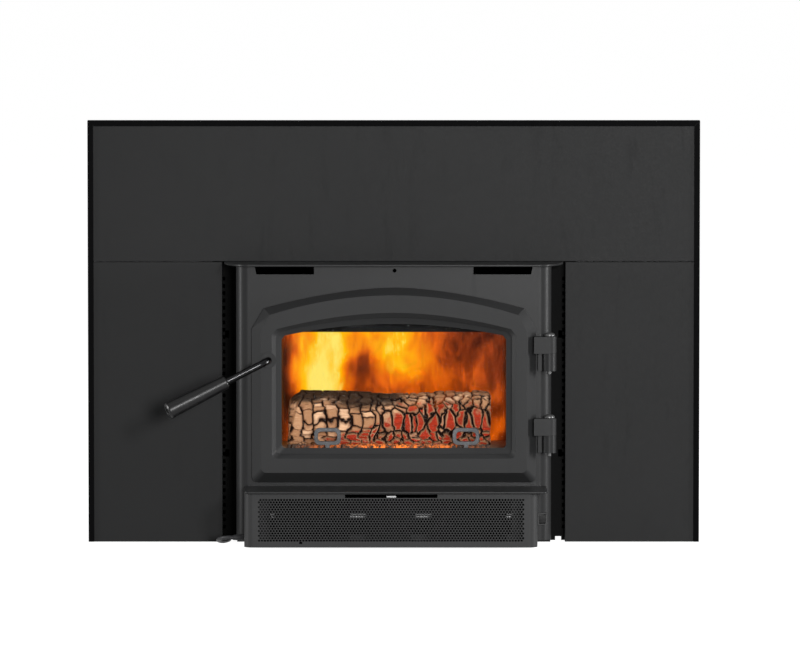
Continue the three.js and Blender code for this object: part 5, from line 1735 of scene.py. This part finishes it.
@dataclass
class CoalBed:
    """Small coals that lie on the floor bricks along the foot of the log."""

    left_x: float = -0.182
    right_x: float = 0.166
    front_y: float = -0.139
    depth: float = 0.020
    floor_z: float = 0.1646
    coal: float = 0.0042
    columns: int = 64
    rows: int = 3
    scatter: Point = (0.0025, 0.003, 0.0008)
    seed: int = 7
    turn_limit: Point = (6.28, 6.28, 6.28)
    turn_seed: int = 3
    smallest: Point = (0.5, 0.5, 0.4)
    largest: Point = (1.25, 1.0, 0.85)
    size_seed: int = 5
    dent_scale: float = 320.0
    dent_depth: float = 0.004
    rise: float = 0.9
    clearance: float = 0.0001

    def build(self) -> None:
        """Builds the coals."""
        made = Pattern("coal_bed", Width=self.right_x - self.left_x, Depth=self.depth, Coal=self.coal,
                       Columns=self.columns, Rows=self.rows, Seed=self.seed)
        width, depth = made.size("Width"), made.size("Depth")
        grid = made.grid(width, depth, made.size("Columns"), made.size("Rows"))
        aside, inwards, _ = self.scatter
        scatter = made.chance((-aside, -inwards, 0.0), self.scatter, made.size("Seed"))
        places = made.add("SetPosition", {"Geometry": grid, "Offset": scatter})
        lump = made.add("MeshIcoSphere", {"Radius": made.size("Coal"), "Subdivisions": 3})
        turn = made.chance((0, 0, 0), self.turn_limit, self.turn_seed)
        scale = made.chance(self.smallest, self.largest, self.size_seed)
        coals = made.repeated(places, lump, Rotation=turn, Scale=scale)
        coals = made.add("RealizeInstances", {"Geometry": coals})
        rough = made.add("ShaderNodeTexNoise", {"Scale": self.dent_scale, "Detail": 2.0}, output="Color")
        dent = made.add("ShaderNodeVectorMath", {0: rough, 1: (0.5, 0.5, 0.5)}, operation="SUBTRACT")
        dent = made.add("ShaderNodeVectorMath", {0: dent, "Scale": self.dent_depth}, operation="SCALE")
        coals = made.add("SetPosition", {"Geometry": coals, "Offset": dent})
        middle_x, middle_y = (self.left_x + self.right_x) / 2, self.front_y + self.depth / 2
        middle = (middle_x, middle_y, self.floor_z + self.coal * self.rise)
        piece = made.bake(made.moved(coals, middle), Coals().make())
        lowest = self.floor_z + self.clearance
        for vertex in piece.data.vertices:
            vertex.co.z = max(vertex.co.z, lowest)
        for polygon in piece.data.polygons:
            polygon.use_smooth = True
        settle(piece, Body.FIXED, "split_log")


@dataclass
class FlameSheet:
    """One curtain of flame: it waves front to back and thins out towards its edge."""

    name: str
    y: float
    left_x: float
    right_x: float
    bottom_z: float
    top_z: float
    finish: Flame
    wave: float = 0.012
    fade: float = 0.02
    ragged: float = 0.0
    columns: int = 90
    rows: int = 56

    def build(self) -> None:
        """Builds the curtain."""
        edit = bmesh.new()
        cover = edit.verts.layers.float.new("cover")
        grid = []
        for i in range(self.columns + 1):
            x = self.left_x + (self.right_x - self.left_x) * i / self.columns
            tongue = self.ragged * (0.5 + noise.noise(Vector((x * 26, self.y * 40, 0.3))))
            line = []
            for j in range(self.rows + 1):
                z = self.bottom_z + (self.top_z - self.bottom_z) * j / self.rows
                swing = self.wave * noise.noise(Vector((x * 16, self.y * 9, z * 9)))
                vert = edit.verts.new((x, self.y + swing, z))
                edge = min(x - self.left_x, self.right_x - x) / self.fade
                top = (self.top_z - tongue - z) / (self.fade * (1 + 2 * (self.ragged > 0)))
                share = min(max(min(edge, top + (0 if self.ragged else 1)), 0.0), 1.0)
                vert[cover] = share * share * (3 - 2 * share)
                line.append(vert)
            grid.append(line)
        for first, second in zip(grid, grid[1:]):
            for j in range(self.rows):
                edit.faces.new((first[j], second[j], second[j + 1], first[j + 1]))
        piece = from_bmesh(self.name, edit, self.finish.make())
        settle(piece, Body.FIXED, "split_log")


@dataclass
class Fire:
    """The log, its coals and three curtains of flame."""

    def build(self) -> None:
        """Builds the fire."""
        SplitLog().build()
        CoalBed().build()
        FlameSheet("flame_rear", 0.030, -0.199, 0.199, 0.166, 0.388, Flame("rear_flame"), fade=0.006).build()
        FlameSheet("flame_middle", 0.000, -0.19, 0.192, 0.168, 0.372,
                   Flame("middle_flame", 0.7, 1.0, 0.75), fade=0.03, ragged=0.05).build()
        FlameSheet("flame_front", -0.128, 0.02, 0.165, 0.236, 0.300,
                   Flame("front_flame", 1.9, 1.0, 0.55), 0.006, 0.03, 0.03).build()


# ---------------------------------------------------------------- door


@dataclass
class Door:
    """The arched casting with its glass, rope, clips, hinge pins and handle."""

    cast_edge: float = 0.0012
    clip_edge: float = 0.0004
    pin_edge: float = 0.0008
    rod_edge: float = 0.0006
    grip_edge: float = 0.0008

    def build(self) -> None:
        """Builds the door."""
        cast = StovePaint("cast_paint", (0.0135, 0.0136, 0.0138), 0.44, sand_depth=0.00006).make()
        finished("door_frame", "door_paint", cast, self.cast_edge, Body.DOOR)
        dressed(CeramicGlass().make(), "door_glass")
        dressed(BraidedRope().make(), "door_gasket")
        dark = StovePaint("clip_paint", (0.006, 0.006, 0.006), 0.55).make()
        for side in ("left", "right"):
            finished(f"glass_retainer_{side}", "dark_steel", dark, self.clip_edge, Body.DOOR)
        pin = StovePaint("pin_paint", (0.03, 0.03, 0.03), 0.28, specular=0.3).make()
        for level in ("upper", "lower"):
            finished(f"hinge_pin_{level}", "pin_steel", pin, self.pin_edge, Body.DOOR)
        bar = PolishedBar("polished_rod", (0.016, 0.016, 0.0165)).make()
        finished("handle_rod", "rod_steel", bar, self.rod_edge, Body.HANDLE)
        grip = Moulded("grip_coating", (0.002, 0.002, 0.0021), 0.33, stipple=0.000004, specular=0.19).make()
        finished("handle_grip", "grip_black", grip, self.grip_edge, Body.HANDLE)
        finished("latch_cam", "dark_steel", dark, self.rod_edge, Body.HANDLE)


def main() -> None:
    """Builds the studio and the object."""
    logging.basicConfig(level=logging.INFO, format="%(name)s: %(message)s", force=True)
    for part in (Studio(), MainsLead(), Surround(), Cabinet(), FanHousing(), Firebox(), Fire(), Door()):
        part.build()
        log.info("built %s", type(part).__name__)


if __name__ == "__main__":
    main()
